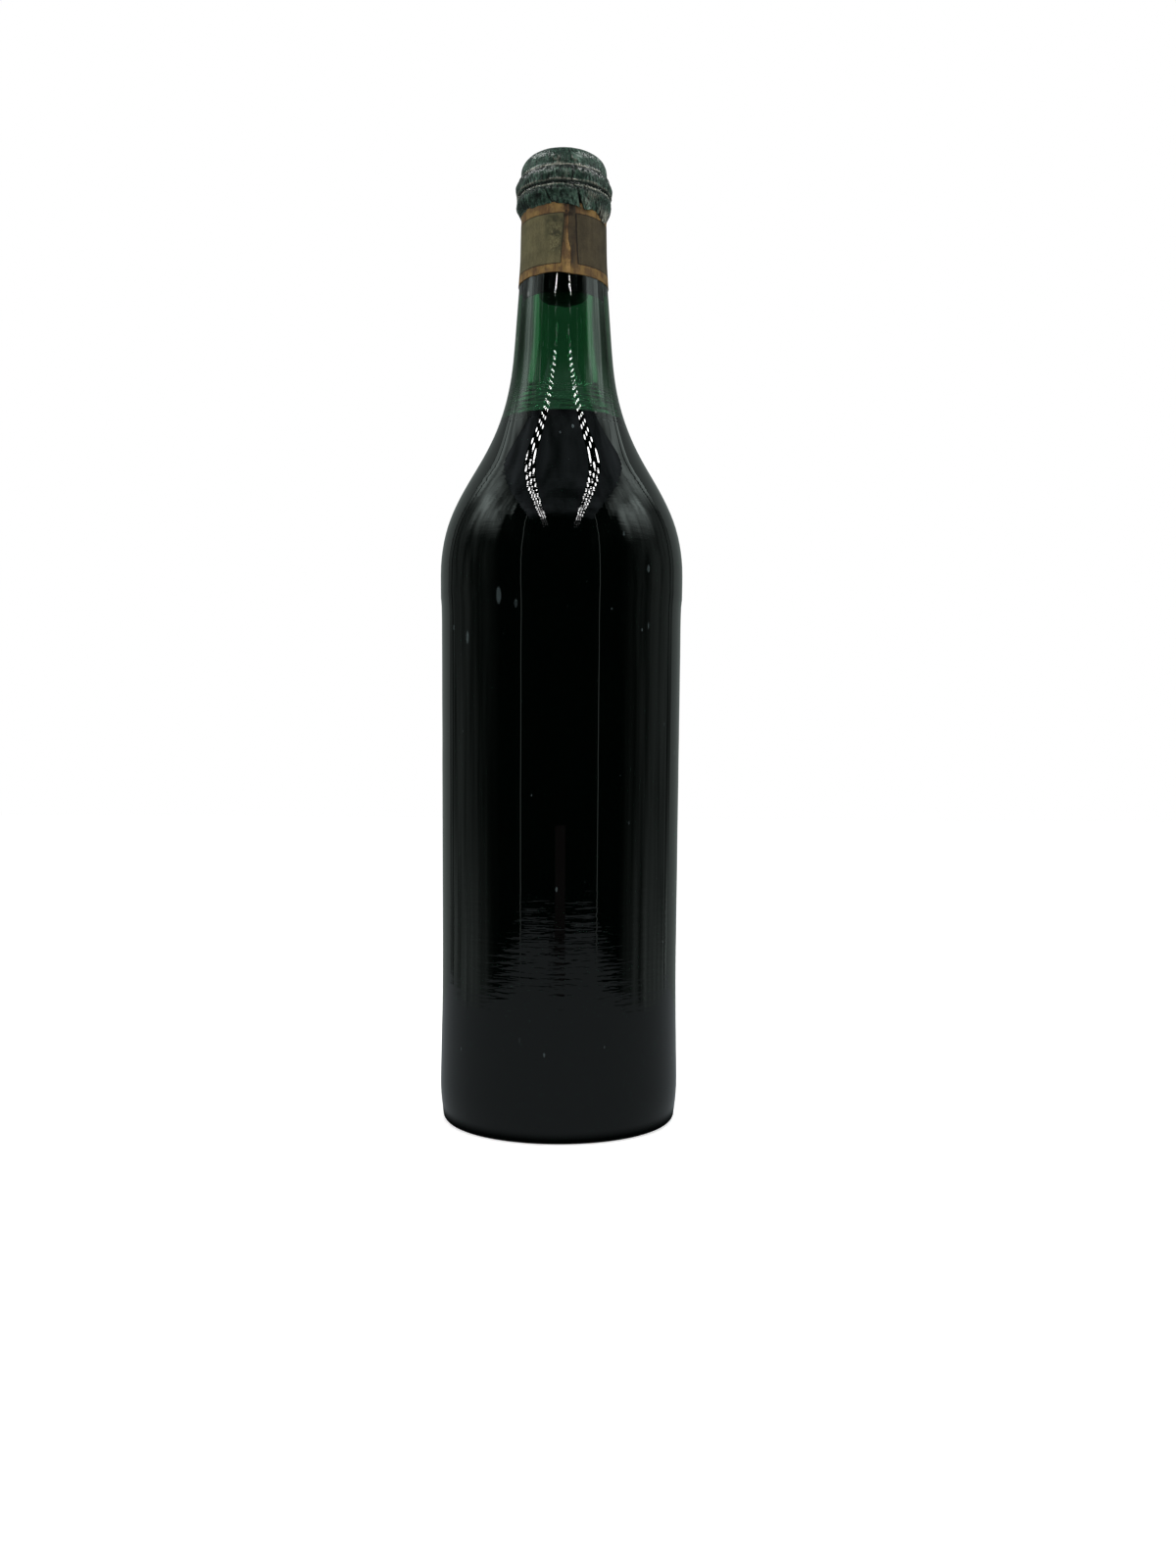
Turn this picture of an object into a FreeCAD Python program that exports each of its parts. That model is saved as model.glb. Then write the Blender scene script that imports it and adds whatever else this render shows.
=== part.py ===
import FreeCAD, Part
import math
import os
from collections import namedtuple

# A one-litre bottle of vermouth: dark glass with an ogee shoulder and a
# double-ring mouth, shut with a cork, capped with crimped foil and banded with
# a paper neck label.  Lengths are millimetres.  The origin is the centre of the
# ring that the bottle stands on, +Z runs up its axis, and the seam of the
# label and of the foil faces -Y.

# ---- glass: overall ----
SHOULDER_H = 192.3        # height of the widest point of the shoulder
NECK_H = 148.0            # from there up to the mouth
SHOULDER_R = 43.0         # widest radius

# ---- glass: body side, as insets from the widest radius ----
STAND_INSET = 4.5         # outer edge of the ring that it stands on
STAND_WIDTH = 3.0         # flat width of that ring
HEEL_CORNER_R = 2.4
HEEL_Z = 14.0             # heel bulge
HEEL_INSET = 1.1
HEEL_ROUND = 60.0
WAIST_Z = 52.0            # narrowest ring of the body
WAIST_INSET = 1.55
WAIST_HOLLOW = 1200.0
PANEL_TOP_DROP = 21.0     # end of the straight panel, below the widest point
PANEL_TOP_INSET = 0.55
PANEL_TOP_HOLLOW = 300.0
SWELL_ROUND = 335.0       # from the panel out to the widest point

# ---- glass: shoulder, neck and walls ----
SHOULDER_CONVEX_R = 60.0
SHOULDER_CONCAVE_R = 85.5
NECK_DROP = 40.3          # below the mouth, where the neck's cone ends
NECK_R = 15.45            # outer radius there
NECK_LEAN = 0.072         # radians that the cone leans in
NECK_BEND_R = 150.0       # from the cone into the straighter top of the neck
NECK_TOP_R = 14.9         # outer radius just under the rings
WALL = 3.5
FLOOR_Z = 7.0             # inside floor, at its edge
PUNT_RISE = 7.0           # dome of the floor and of the hollow under it
BORE_R = 8.7
INNER_CONVEX_R = 54.0
INNER_CONCAVE_R = 100.0
BORE_EDGE_R = 0.8         # rounding of the mouth's inner edge

# ---- glass: rings of the mouth, as drops below it ----
LIP_R = 14.87
LIP_ROUND = 5.3           # at most the width of the lip
LIP_SEAT_DROP = 6.4       # where the lip meets the upper ring
LIP_SEAT_ROUND = 0.75
UPPER_RING_R = 16.8
UPPER_RING_DROP = 10.9
UPPER_RING_ROUND = 3.3
GROOVE_R = 16.2
GROOVE_DROP = 13.9
GROOVE_ROUND = 0.9
LOWER_RING_R = 16.52
LOWER_RING_DROP = 16.4
LOWER_RING_ROUND = 2.6
RING_FILLET_DROP = 21.1
RING_FILLET_R = 2.4

# ---- contents and cork ----
FILL_DROP = 92.3          # liquid level, below the mouth
FIT_GAP = 0.05            # between glass and what it holds
CORK_LENGTH = 47.0
CORK_RECESS = 0.5         # cork's top, below the mouth
CORK_CHAMFER = 0.8

# ---- paper label on the neck ----
PAPER = 0.12
PAPER_GAP = 0.03
LABEL_BOTTOM_DROP = 45.0
LABEL_TUCK = 1.0          # how far the paper runs up under the foil
LAP_FROM = -12.0          # degrees, right of the front: the end that laps over
LAP_TO = 7.0

# ---- foil capsule ----
FOIL = 0.25
FOIL_GAP = 0.05
FOIL_EDGE_DROP = 21.2     # lower edge of the skirt
SKIRT_WAVES = 13
SKIRT_WAVE_R = 3.0
SKIRT_WAVE_DEPTH = 0.5
CRIMPS = 44
CRIMP_R = 0.9
CRIMP_DEPTH = 0.16
TEAR_WIDTH = 0.5

MOUTH_Z = SHOULDER_H + NECK_H
LIP_EDGE_R = min(LIP_ROUND, LIP_R - BORE_R - BORE_EDGE_R)
PAPER_OFFSET = PAPER_GAP + PAPER
FOIL_INNER = PAPER_OFFSET + FOIL_GAP
FOIL_OUTER = FOIL_INNER + FOIL
FOIL_EDGE_Z = MOUTH_Z - FOIL_EDGE_DROP

# Tear in the foil's front: offset from the axis and height above the skirt's edge.
TEAR = [(3.7, 13.4), (3.6, 12.0), (3.0, 8.6), (3.2, 6.6), (4.6, 5.0), (5.4, 2.4), (6.4, -1.5)]
TEAR_FOOT_WIDTH = 1.6

ORIGIN = FreeCAD.Vector(0, 0, 0)
UP = FreeCAD.Vector(0, 0, 1)
DOWNWARD = -math.pi / 2   # facings of an outline, as angles in its plane
OUTWARD = 0.0
UPWARD = math.pi / 2
FAR = 4 * SHOULDER_R      # larger than any radius, for trimming blocks
TINY = 1e-6

# One bend of an outline: its centre, and its radius, negative where it is hollow.
Bend = namedtuple("Bend", "r z radius")


def point(r, z):
    """A point of an outline, at radius r and height z."""
    return FreeCAD.Vector(r, 0, z)


def line(start, end):
    """A straight edge."""
    return Part.LineSegment(start, end).toShape()


def facing_between(lower, upper):
    """Outward facing of the straight line that touches two bends, as an angle."""
    run = upper.r - lower.r
    rise = upper.z - lower.z
    reach = (lower.radius - upper.radius) / math.hypot(run, rise)
    return math.atan2(rise, run) - math.acos(max(-1.0, min(1.0, reach)))


def on_bend(bend, facing, offset):
    """The point of a bend, moved out by offset, that faces a given way."""
    reach = bend.radius + offset
    return point(bend.r + reach * math.cos(facing), bend.z + reach * math.sin(facing))


def outline(bends, start_facing, end_facing, offset=0.0):
    """Edges that run up a chain of bends and the straight lines between them."""
    facings = [start_facing]
    for lower, upper in zip(bends, bends[1:]):
        facings.append(facing_between(lower, upper))
    facings.append(end_facing)
    edges = []
    last = on_bend(bends[0], start_facing, offset)
    for bend, enter, leave in zip(bends, facings, facings[1:]):
        start = on_bend(bend, enter, offset)
        end = on_bend(bend, leave, offset)
        if last.distanceToPoint(start) > TINY:
            edges.append(line(last, start))
        if start.distanceToPoint(end) > TINY:
            middle = on_bend(bend, (enter + leave) / 2, offset)
            edges.append(Part.Arc(start, middle, end).toShape())
        last = end
    return edges


def turned(edges):
    """Solid swept by a closed outline that turns about the axis."""
    wire = Part.Wire(Part.__sortEdges__(edges))
    return Part.Face(wire).revolve(ORIGIN, UP, 360)


def ogee(widest_r, convex_r, concave_r, neck_r, neck_z, lean):
    """Bends of a shoulder: convex from its widest point, then concave into the neck."""
    convex = Bend(widest_r - convex_r, SHOULDER_H, convex_r)
    # The hollow's centre lies on a line beside the neck's own, as far out as its
    # radius, and at the sum of the two radii from the convex centre.
    out_r, out_z = math.cos(lean), math.sin(lean)
    run = neck_r + concave_r * out_r - convex.r
    rise = neck_z + concave_r * out_z - convex.z
    along = run * -out_z + rise * out_r
    spare = run ** 2 + rise ** 2 - (convex_r + concave_r) ** 2
    back = -along + math.sqrt(along ** 2 - spare)
    concave = Bend(convex.r + run - back * out_z, convex.z + rise + back * out_r, -concave_r)
    return [convex, concave]


def side_bends(inset):
    """Bends of the body's side, from the heel to the widest point, moved in by inset."""
    panel_top_z = SHOULDER_H - PANEL_TOP_DROP
    return [
        Bend(SHOULDER_R - HEEL_INSET - HEEL_ROUND, HEEL_Z, HEEL_ROUND - inset),
        Bend(SHOULDER_R - WAIST_INSET + WAIST_HOLLOW, WAIST_Z, -WAIST_HOLLOW - inset),
        Bend(SHOULDER_R - PANEL_TOP_INSET + PANEL_TOP_HOLLOW, panel_top_z, -PANEL_TOP_HOLLOW - inset),
        Bend(SHOULDER_R - SWELL_ROUND, SHOULDER_H, SWELL_ROUND - inset),
    ]


def dome(edge_r, edge_z, rise):
    """Arc from a ring of the floor up to the axis."""
    radius = (edge_r ** 2 + rise ** 2) / (2 * rise)
    half = math.asin(edge_r / radius) / 2
    middle = point(radius * math.sin(half), edge_z + rise - radius * (1 - math.cos(half)))
    return Part.Arc(point(edge_r, edge_z), middle, point(0, edge_z + rise)).toShape()


def upper_bends():
    """Bends of the glass's outside, from the widest point to the mouth."""
    neck_z = MOUTH_Z - NECK_DROP
    shoulder = ogee(SHOULDER_R, SHOULDER_CONVEX_R, SHOULDER_CONCAVE_R, NECK_R, neck_z, NECK_LEAN)
    neck = Bend(
        NECK_R + NECK_BEND_R * math.cos(NECK_LEAN),
        neck_z + NECK_BEND_R * math.sin(NECK_LEAN),
        -NECK_BEND_R,
    )
    return shoulder + [
        neck,
        Bend(NECK_TOP_R + RING_FILLET_R, MOUTH_Z - RING_FILLET_DROP, -RING_FILLET_R),
        Bend(LOWER_RING_R - LOWER_RING_ROUND, MOUTH_Z - LOWER_RING_DROP, LOWER_RING_ROUND),
        Bend(GROOVE_R + GROOVE_ROUND, MOUTH_Z - GROOVE_DROP, -GROOVE_ROUND),
        Bend(UPPER_RING_R - UPPER_RING_ROUND, MOUTH_Z - UPPER_RING_DROP, UPPER_RING_ROUND),
        Bend(LIP_R + LIP_SEAT_ROUND, MOUTH_Z - LIP_SEAT_DROP, -LIP_SEAT_ROUND),
        Bend(LIP_R - LIP_EDGE_R, MOUTH_Z - LIP_EDGE_R, LIP_EDGE_R),
    ]


def outside():
    """Edges of the glass's outside, from the standing ring to the mouth."""
    corner = Bend(SHOULDER_R - STAND_INSET, HEEL_CORNER_R, HEEL_CORNER_R)
    return outline([corner] + side_bends(0) + upper_bends(), DOWNWARD, UPWARD)


def inside(gap=0.0):
    """Edges of the cavity, from the floor's centre to the mouth, drawn in by gap."""
    corner_r = HEEL_Z - FLOOR_Z
    floor_r = SHOULDER_R - HEEL_INSET - WALL - corner_r
    shoulder = ogee(SHOULDER_R - WALL, INNER_CONVEX_R, INNER_CONCAVE_R, BORE_R, MOUTH_Z, 0.0)
    bends = [Bend(floor_r, HEEL_Z, corner_r)] + side_bends(WALL) + shoulder
    bends.append(Bend(BORE_R + BORE_EDGE_R, MOUTH_Z - BORE_EDGE_R, -BORE_EDGE_R))
    return [dome(floor_r, FLOOR_Z + gap, PUNT_RISE)] + outline(bends, DOWNWARD, DOWNWARD, -gap)


def highest(edges):
    """The highest corner of a chain of edges."""
    return max((vertex.Point for edge in edges for vertex in edge.Vertexes), key=lambda p: p.z)


def slab(bottom, top):
    """A disc wider than the bottle between two heights."""
    return Part.makeCylinder(FAR, top - bottom, FreeCAD.Vector(0, 0, bottom))


def wrapped(offset):
    """The shoulder, neck and mouth as one filled solid, grown by offset."""
    edges = outline(upper_bends(), OUTWARD, UPWARD, offset)
    top = highest(edges)
    edges.append(line(top, point(0, top.z)))
    edges.append(line(point(0, top.z), point(0, SHOULDER_H)))
    edges.append(line(point(0, SHOULDER_H), point(SHOULDER_R + offset, SHOULDER_H)))
    return turned(edges)


def skin(inner, outer, bottom, top):
    """A layer on the glass between two offsets from it and two heights."""
    return wrapped(outer).cut(wrapped(inner)).common(slab(bottom, top))


def bottle_glass():
    """The bottle: punt, body, shoulder, neck, rings and bore in one turned solid."""
    stand_inner = SHOULDER_R - STAND_INSET - STAND_WIDTH
    closing = [
        line(point(stand_inner, 0), point(stand_inner + STAND_WIDTH, 0)),
        dome(stand_inner, 0, PUNT_RISE),
        line(point(0, PUNT_RISE), point(0, FLOOR_Z + PUNT_RISE)),
    ]
    if LIP_R - LIP_EDGE_R > BORE_R + BORE_EDGE_R + TINY:
        closing.append(line(point(LIP_R - LIP_EDGE_R, MOUTH_Z), point(BORE_R + BORE_EDGE_R, MOUTH_Z)))
    return turned(outside() + inside() + closing)


def vermouth():
    """The drink: the cavity, a fit's gap clear of the glass, up to its level."""
    edges = inside(FIT_GAP)
    top = highest(edges)
    edges.append(line(top, point(0, top.z)))
    edges.append(line(point(0, top.z), point(0, FLOOR_Z + PUNT_RISE + FIT_GAP)))
    return turned(edges).common(slab(0, MOUTH_Z - FILL_DROP))


def cork():
    """Straight cork, pressed into the bore to just under the mouth."""
    bottom = MOUTH_Z - CORK_RECESS - CORK_LENGTH
    body = Part.makeCylinder(BORE_R - FIT_GAP, CORK_LENGTH, FreeCAD.Vector(0, 0, bottom))
    rims = [edge for edge in body.Edges if not edge.isSeam(body.Faces[0])]
    return body.makeChamfer(CORK_CHAMFER, rims)


def neck_label():
    """Paper band round the neck, with the end that laps over at the front."""
    bottom = MOUTH_Z - LABEL_BOTTOM_DROP
    band = skin(PAPER_GAP, PAPER_OFFSET, bottom, FOIL_EDGE_Z + LABEL_TUCK)
    lap = skin(PAPER_OFFSET, PAPER_OFFSET + PAPER, bottom, FOIL_EDGE_Z - PAPER)
    sector = Part.makeCylinder(FAR, 2 * MOUTH_Z, ORIGIN, UP, LAP_TO - LAP_FROM)
    sector.rotate(ORIGIN, UP, LAP_FROM - 90)
    return band.fuse(lap.common(sector)).removeSplitter()


def crimps():
    """Round cutters that dent both rings of the foil, evenly all the way round."""
    cutters = []
    for ring_r, drop in ((UPPER_RING_R, UPPER_RING_DROP), (LOWER_RING_R, LOWER_RING_DROP)):
        axis_r = ring_r + FOIL_OUTER - CRIMP_DEPTH + CRIMP_R
        height = GROOVE_DROP - UPPER_RING_DROP
        base = point(axis_r, MOUTH_Z - drop - height / 2)
        for index in range(CRIMPS):
            cutter = Part.makeCylinder(CRIMP_R, height, base)
            cutter.rotate(ORIGIN, UP, 360 * index / CRIMPS)
            cutters.append(cutter)
    return cutters


def skirt_waves():
    """Radial cutters that scallop the lower edge of the foil."""
    cutters = []
    inner_r = NECK_TOP_R - FOIL
    centre_z = FOIL_EDGE_Z + SKIRT_WAVE_DEPTH - SKIRT_WAVE_R
    for index in range(SKIRT_WAVES):
        cutter = Part.makeCylinder(
            SKIRT_WAVE_R, inner_r, FreeCAD.Vector(inner_r, 0, centre_z), FreeCAD.Vector(1, 0, 0)
        )
        cutter.rotate(ORIGIN, UP, 360 * index / SKIRT_WAVES)
        cutters.append(cutter)
    return cutters


def tear():
    """Cutter for the slit in the front of the foil, which widens to a wedge at its foot."""
    widths = [TEAR_WIDTH] * (len(TEAR) - 1) + [TEAR_FOOT_WIDTH]
    left = []
    right = []
    for (x, height), width in zip(TEAR, widths):
        left.append(FreeCAD.Vector(x - width / 2, 0, FOIL_EDGE_Z + height))
        right.append(FreeCAD.Vector(x + width / 2, 0, FOIL_EDGE_Z + height))
    corners = left + right[::-1]
    face = Part.Face(Part.makePolygon(corners + corners[:1]))
    return face.extrude(FreeCAD.Vector(0, -FAR, 0))


def foil_capsule():
    """Foil over the mouth: crimped rings, a scalloped skirt and a torn front."""
    shell = skin(FOIL_INNER, FOIL_OUTER, FOIL_EDGE_Z, MOUTH_Z + FAR)
    return shell.cut(crimps() + skirt_waves() + [tear()])


PIECES = (bottle_glass, vermouth, cork, neck_label, foil_capsule)

os.makedirs("parts", exist_ok=True)
for piece in PIECES:
    piece().exportStep(f"parts/{piece.__name__}.step")
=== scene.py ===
import logging
import math
from contextlib import contextmanager
from dataclasses import dataclass
from enum import Enum
from functools import partial
from typing import Any, Callable, Iterator, Optional, Union

import bpy
import numpy as np
from bpy.types import Material, Node, NodeSocket, NodeTree, Object
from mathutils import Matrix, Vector, noise


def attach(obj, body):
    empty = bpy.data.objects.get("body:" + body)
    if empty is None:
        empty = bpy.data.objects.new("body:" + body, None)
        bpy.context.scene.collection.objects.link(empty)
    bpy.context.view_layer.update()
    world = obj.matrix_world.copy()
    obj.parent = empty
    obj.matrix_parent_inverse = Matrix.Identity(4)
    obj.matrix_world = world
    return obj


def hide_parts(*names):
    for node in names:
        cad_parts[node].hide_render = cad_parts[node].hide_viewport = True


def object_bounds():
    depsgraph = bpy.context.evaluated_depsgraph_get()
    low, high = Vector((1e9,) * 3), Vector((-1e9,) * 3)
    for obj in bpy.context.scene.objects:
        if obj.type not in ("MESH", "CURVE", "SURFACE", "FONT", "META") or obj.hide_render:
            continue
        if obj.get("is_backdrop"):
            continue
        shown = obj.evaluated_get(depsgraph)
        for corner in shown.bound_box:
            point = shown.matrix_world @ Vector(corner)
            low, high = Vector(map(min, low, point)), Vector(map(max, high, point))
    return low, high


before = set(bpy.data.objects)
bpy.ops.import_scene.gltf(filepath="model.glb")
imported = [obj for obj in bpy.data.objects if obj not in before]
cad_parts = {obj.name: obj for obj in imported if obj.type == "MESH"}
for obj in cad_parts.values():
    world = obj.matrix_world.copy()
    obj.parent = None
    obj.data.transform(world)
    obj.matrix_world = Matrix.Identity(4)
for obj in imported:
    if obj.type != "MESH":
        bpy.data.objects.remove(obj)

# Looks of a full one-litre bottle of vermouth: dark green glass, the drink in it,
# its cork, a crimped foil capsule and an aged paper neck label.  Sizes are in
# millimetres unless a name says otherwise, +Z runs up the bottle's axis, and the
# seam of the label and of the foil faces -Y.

LOG = logging.getLogger("vermouth_bottle")

MM = 0.001
BODY = "root"
OUTWARD = 0.0
UPWARD = math.pi / 2
DOWNWARD = -math.pi / 2
WELD_M = 1e-6
FLOOR_POINTS = 10

Point = tuple[float, float]
Place = tuple[float, float, float]
Patterns = tuple[tuple[str, float, float, float, float], ...]


# ---------------------------------------------------------------- colour, nodes

def linear(hex_colour: str) -> tuple[float, float, float, float]:
    """Turn an sRGB hex colour into linear RGBA.

    Args:
        hex_colour: Six hex digits, with or without a leading '#'.

    Returns:
        Linear red, green and blue, with alpha 1.
    """
    digits = hex_colour.lstrip("#")
    shares = [int(digits[i:i + 2], 16) / 255 for i in (0, 2, 4)]
    red, green, blue = (s / 12.92 if s <= 0.04045 else ((s + 0.055) / 1.055) ** 2.4 for s in shares)
    return red, green, blue, 1.0


class Nodes:
    """The nodes of one material or of the world, and the noise that its finish uses."""

    def __init__(self, tree: NodeTree) -> None:
        """Start with an empty node tree."""
        tree.nodes.clear()
        self.tree, self.pattern = tree, {}

    def add(self, kind: str, *values: Any, **named: Any) -> Node:
        """Add a node with its settings, values and links.

        Args:
            kind: Blender's name for the node's type, after "ShaderNode".
            *values: Its first inputs, in order.
            **named: Inputs by name, with capitals and _ for a space, and the node's own
                settings in small letters.  An input takes a value, a hex colour, a socket,
                or a node, which gives its first output; None leaves it alone.

        Returns:
            The new node.
        """
        node = self.tree.nodes.new("ShaderNode" + kind)
        for name in filter(str.islower, named):
            setattr(node, name, named[name])
        inputs = list(zip(node.inputs, values))
        for name in (n for n in named if not n.islower()):
            label = name.replace("_", " ")
            inputs.append((next(s for s in node.inputs if s.enabled and s.name == label), named[name]))
        for socket, value in inputs:
            if isinstance(value, Node):
                value = next(s for s in value.outputs if s.enabled)
            if isinstance(value, NodeSocket):
                self.tree.links.new(value, socket)
            elif value is not None:
                socket.default_value = linear(value) if isinstance(value, str) else value
        return node

    @property
    def place(self) -> NodeSocket:
        """Where the shaded place is, in metres."""
        return self.add("TexCoord").outputs["Object"]

    def rise(self, axis: str, low: float, high: float, start: float = 0.0, end: float = 1.0) -> Node:
        """Smooth change from start to end along one axis, between two millimetre marks."""
        along = self.add("SeparateXYZ", self.place).outputs[axis]
        return self.add("MapRange", along, low * MM, high * MM, start, end, interpolation_type="SMOOTHSTEP")

    def times(self, *parts: Any) -> Any:
        """Multiply masks or brightnesses.

        Args:
            *parts: Nodes, sockets or numbers, of which the first isn't a number.

        Returns:
            The node that holds their product.
        """
        result = parts[0]
        for part in parts[1:]:
            result = self.add("Math", result, part, operation="MULTIPLY")
        return result

    def layered(self, base: Any, *coats: tuple[Any, Any]) -> Any:
        """Lay coats of colour over a base, each where its own mask is set.

        Args:
            base: Colour or node underneath.
            *coats: Mask and colour of each coat, from the lowest up.

        Returns:
            The node that holds the colour.
        """
        for mask, colour in coats:
            base = self.add("Mix", Factor=mask, A=base, B=colour, data_type="RGBA")
        return base

    def relief(self, *layers: tuple[float, float, Any]) -> Optional[Node]:
        """Raise fine relief, one layer on another.

        Args:
            *layers: Strength, depth in millimetres and height of each layer.

        Returns:
            The node that holds the bent normal.
        """
        bump = None
        for strength, depth, height in layers:
            bump = self.add("Bump", Strength=strength, Distance=depth * MM, Height=height, Normal=bump)
        return bump


def empty_material(name: str) -> tuple[Material, Nodes]:
    """Make a material and its empty set of nodes."""
    material = bpy.data.materials.new(name)
    material.use_nodes = True
    return material, Nodes(material.node_tree)


# ---------------------------------------------------------------- mesh by hand

def deselect_all() -> None:
    """Deselect every object, the frame's own included."""
    for chosen in list(bpy.context.selected_objects):
        chosen.select_set(False)


def make_active(piece: Object) -> None:
    """Select one object alone and make it the active one."""
    deselect_all()
    piece.select_set(True)
    bpy.context.view_layer.objects.active = piece


@contextmanager
def edit_mode(piece: Object) -> Iterator[None]:
    """Work on a piece in edit mode, with nothing else selected."""
    make_active(piece)
    bpy.ops.object.mode_set(mode="EDIT")
    try:
        yield
    finally:
        bpy.ops.object.mode_set(mode="OBJECT")


def apply_modifier(piece: Object, kind: str, **settings) -> None:
    """Add a modifier to a piece and apply it at once.

    Args:
        piece: The piece.
        kind: Blender's name for the modifier.
        **settings: Its own settings.
    """
    make_active(piece)
    modifier = piece.modifiers.new(kind.title(), kind)
    for name, value in settings.items():
        setattr(modifier, name, value)
    bpy.ops.object.modifier_apply(modifier=modifier.name)


def smooth(piece: Object, angle: float = 180.0) -> None:
    """Shade a piece smooth, apart from edges sharper than an angle in degrees."""
    make_active(piece)
    bpy.ops.object.shade_smooth_by_angle(angle=math.radians(angle))


def lathe(name: str, outline: list[Point], steps: int) -> Object:
    """Turn an outline about the bottle's axis.

    Args:
        name: Name of the new object.
        outline: Radius and height of each point, in millimetres.
        steps: Number of faces round the axis.

    Returns:
        The turned mesh, its doubles merged and its faces outward.
    """
    deselect_all()
    places = [Vector((0, -r * MM, z * MM)) for r, z in outline]
    bpy.ops.mesh.primitive_plane_add(size=MM, location=places[0])
    piece = bpy.context.active_object
    piece.name = name
    bpy.ops.object.transform_apply(location=True, rotation=False, scale=False)
    with edit_mode(piece):
        bpy.ops.mesh.select_all(action="SELECT")
        bpy.ops.mesh.merge(type="CENTER")
        for start, end in zip(places, places[1:]):
            bpy.ops.mesh.extrude_region_move(TRANSFORM_OT_translate={"value": end - start})
        bpy.ops.mesh.select_all(action="SELECT")
        bpy.ops.mesh.spin(steps=steps, angle=math.tau, center=(0, 0, 0), axis=(0, 0, 1))
        bpy.ops.mesh.select_all(action="SELECT")
        bpy.ops.mesh.remove_doubles(threshold=WELD_M)
        bpy.ops.mesh.normals_make_consistent(inside=False)
    smooth(piece)
    return piece


def places_of(piece: Object) -> np.ndarray:
    """Vertex places of a piece, in millimetres, as rows of x, y and z."""
    flat = np.empty(len(piece.data.vertices) * 3)
    piece.data.vertices.foreach_get("co", flat)
    return flat.reshape(-1, 3) / MM


def set_places(piece: Object, places: np.ndarray) -> None:
    """Move the vertices of a piece to places given in millimetres."""
    piece.data.vertices.foreach_set("co", (places * MM).ravel())
    piece.data.update()


def set_attribute(piece: Object, name: str, values: np.ndarray) -> None:
    """Store one number per vertex under a name that materials can read."""
    layer = piece.data.attributes.new(name, "FLOAT", "POINT")
    layer.data.foreach_set("value", values.astype(np.float32))


def front_angle(places: np.ndarray) -> np.ndarray:
    """Angle of each place round the axis, in degrees, from the front and positive to the right."""
    return np.degrees(np.arctan2(places[:, 0], -places[:, 1]))


def push_out(places: np.ndarray, shift: np.ndarray) -> None:
    """Move places out from the axis by a shift, in millimetres."""
    places[:, :2] *= (1 + shift / np.maximum(np.hypot(places[:, 0], places[:, 1]), 1))[:, None]


def turned(turn: np.ndarray, radius: np.ndarray, z: np.ndarray) -> np.ndarray:
    """Places at given angles from the front in degrees, radii and heights."""
    angle = np.radians(turn)
    return np.stack([radius * np.sin(angle), -radius * np.cos(angle), z], 1)


def radius_at(wall: list[Point], z: Any) -> Any:
    """Radius of a wall at given heights, past the flat floor where it starts."""
    return np.interp(z, [p[1] for p in wall[FLOOR_POINTS:]], [p[0] for p in wall[FLOOR_POINTS:]])


def field_noise(places: np.ndarray, size: Place, seed: float) -> np.ndarray:
    """Smooth noise from -1 to 1 at each place.

    Args:
        places: Rows of x, y and z in millimetres.
        size: Typical width of a lump along each axis, in millimetres.
        seed: Shift that gives another pattern.

    Returns:
        One value per place.
    """
    scaled = places / np.array(size) + seed
    return np.array([noise.noise(Vector(place)) for place in scaled])


def step_between(values: Any, low: float, high: float) -> Any:
    """Smooth rise from 0 at low to 1 at high, or a fall if low is the larger."""
    share = np.clip((values - low) / (high - low), 0, 1)
    return share * share * (3 - 2 * share)


def hump(values: np.ndarray, centre: Any, width: float) -> np.ndarray:
    """Bell of height 1 at centre."""
    return np.exp(-((values - centre) / width) ** 2)


def finish_piece(piece: Object, material: Material, slot: str, *nodes: str) -> None:
    """Dress a piece, let it ride on the body and let it stand for its nodes.

    Args:
        piece: The finished mesh.
        material: Its only material.
        slot: The record's material slot; not used.
        *nodes: Nodes of the frame that the piece replaces.
    """
    piece.data.materials.clear()
    piece.data.materials.append(material)
    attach(piece, BODY)
    if nodes:
        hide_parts(*nodes)
    LOG.info("%s: %d faces", piece.name, len(piece.data.polygons))


# ---------------------------------------------------------------- outline

@dataclass(frozen=True)
class Bend:
    """One bend of a turned outline: its centre, and its radius, negative where concave."""

    r: float
    z: float
    radius: float

    def at(self, facing: float, offset: float) -> Point:
        """The point that faces a given way, moved out by offset."""
        reach = self.radius + offset
        return self.r + reach * math.cos(facing), self.z + reach * math.sin(facing)


def facing_between(lower: Bend, upper: Bend) -> float:
    """Outward facing of the straight line that touches two bends, as an angle."""
    run, rise = upper.r - lower.r, upper.z - lower.z
    reach = (lower.radius - upper.radius) / math.hypot(run, rise)
    return math.atan2(rise, run) - math.acos(max(-1.0, min(1.0, reach)))


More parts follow.
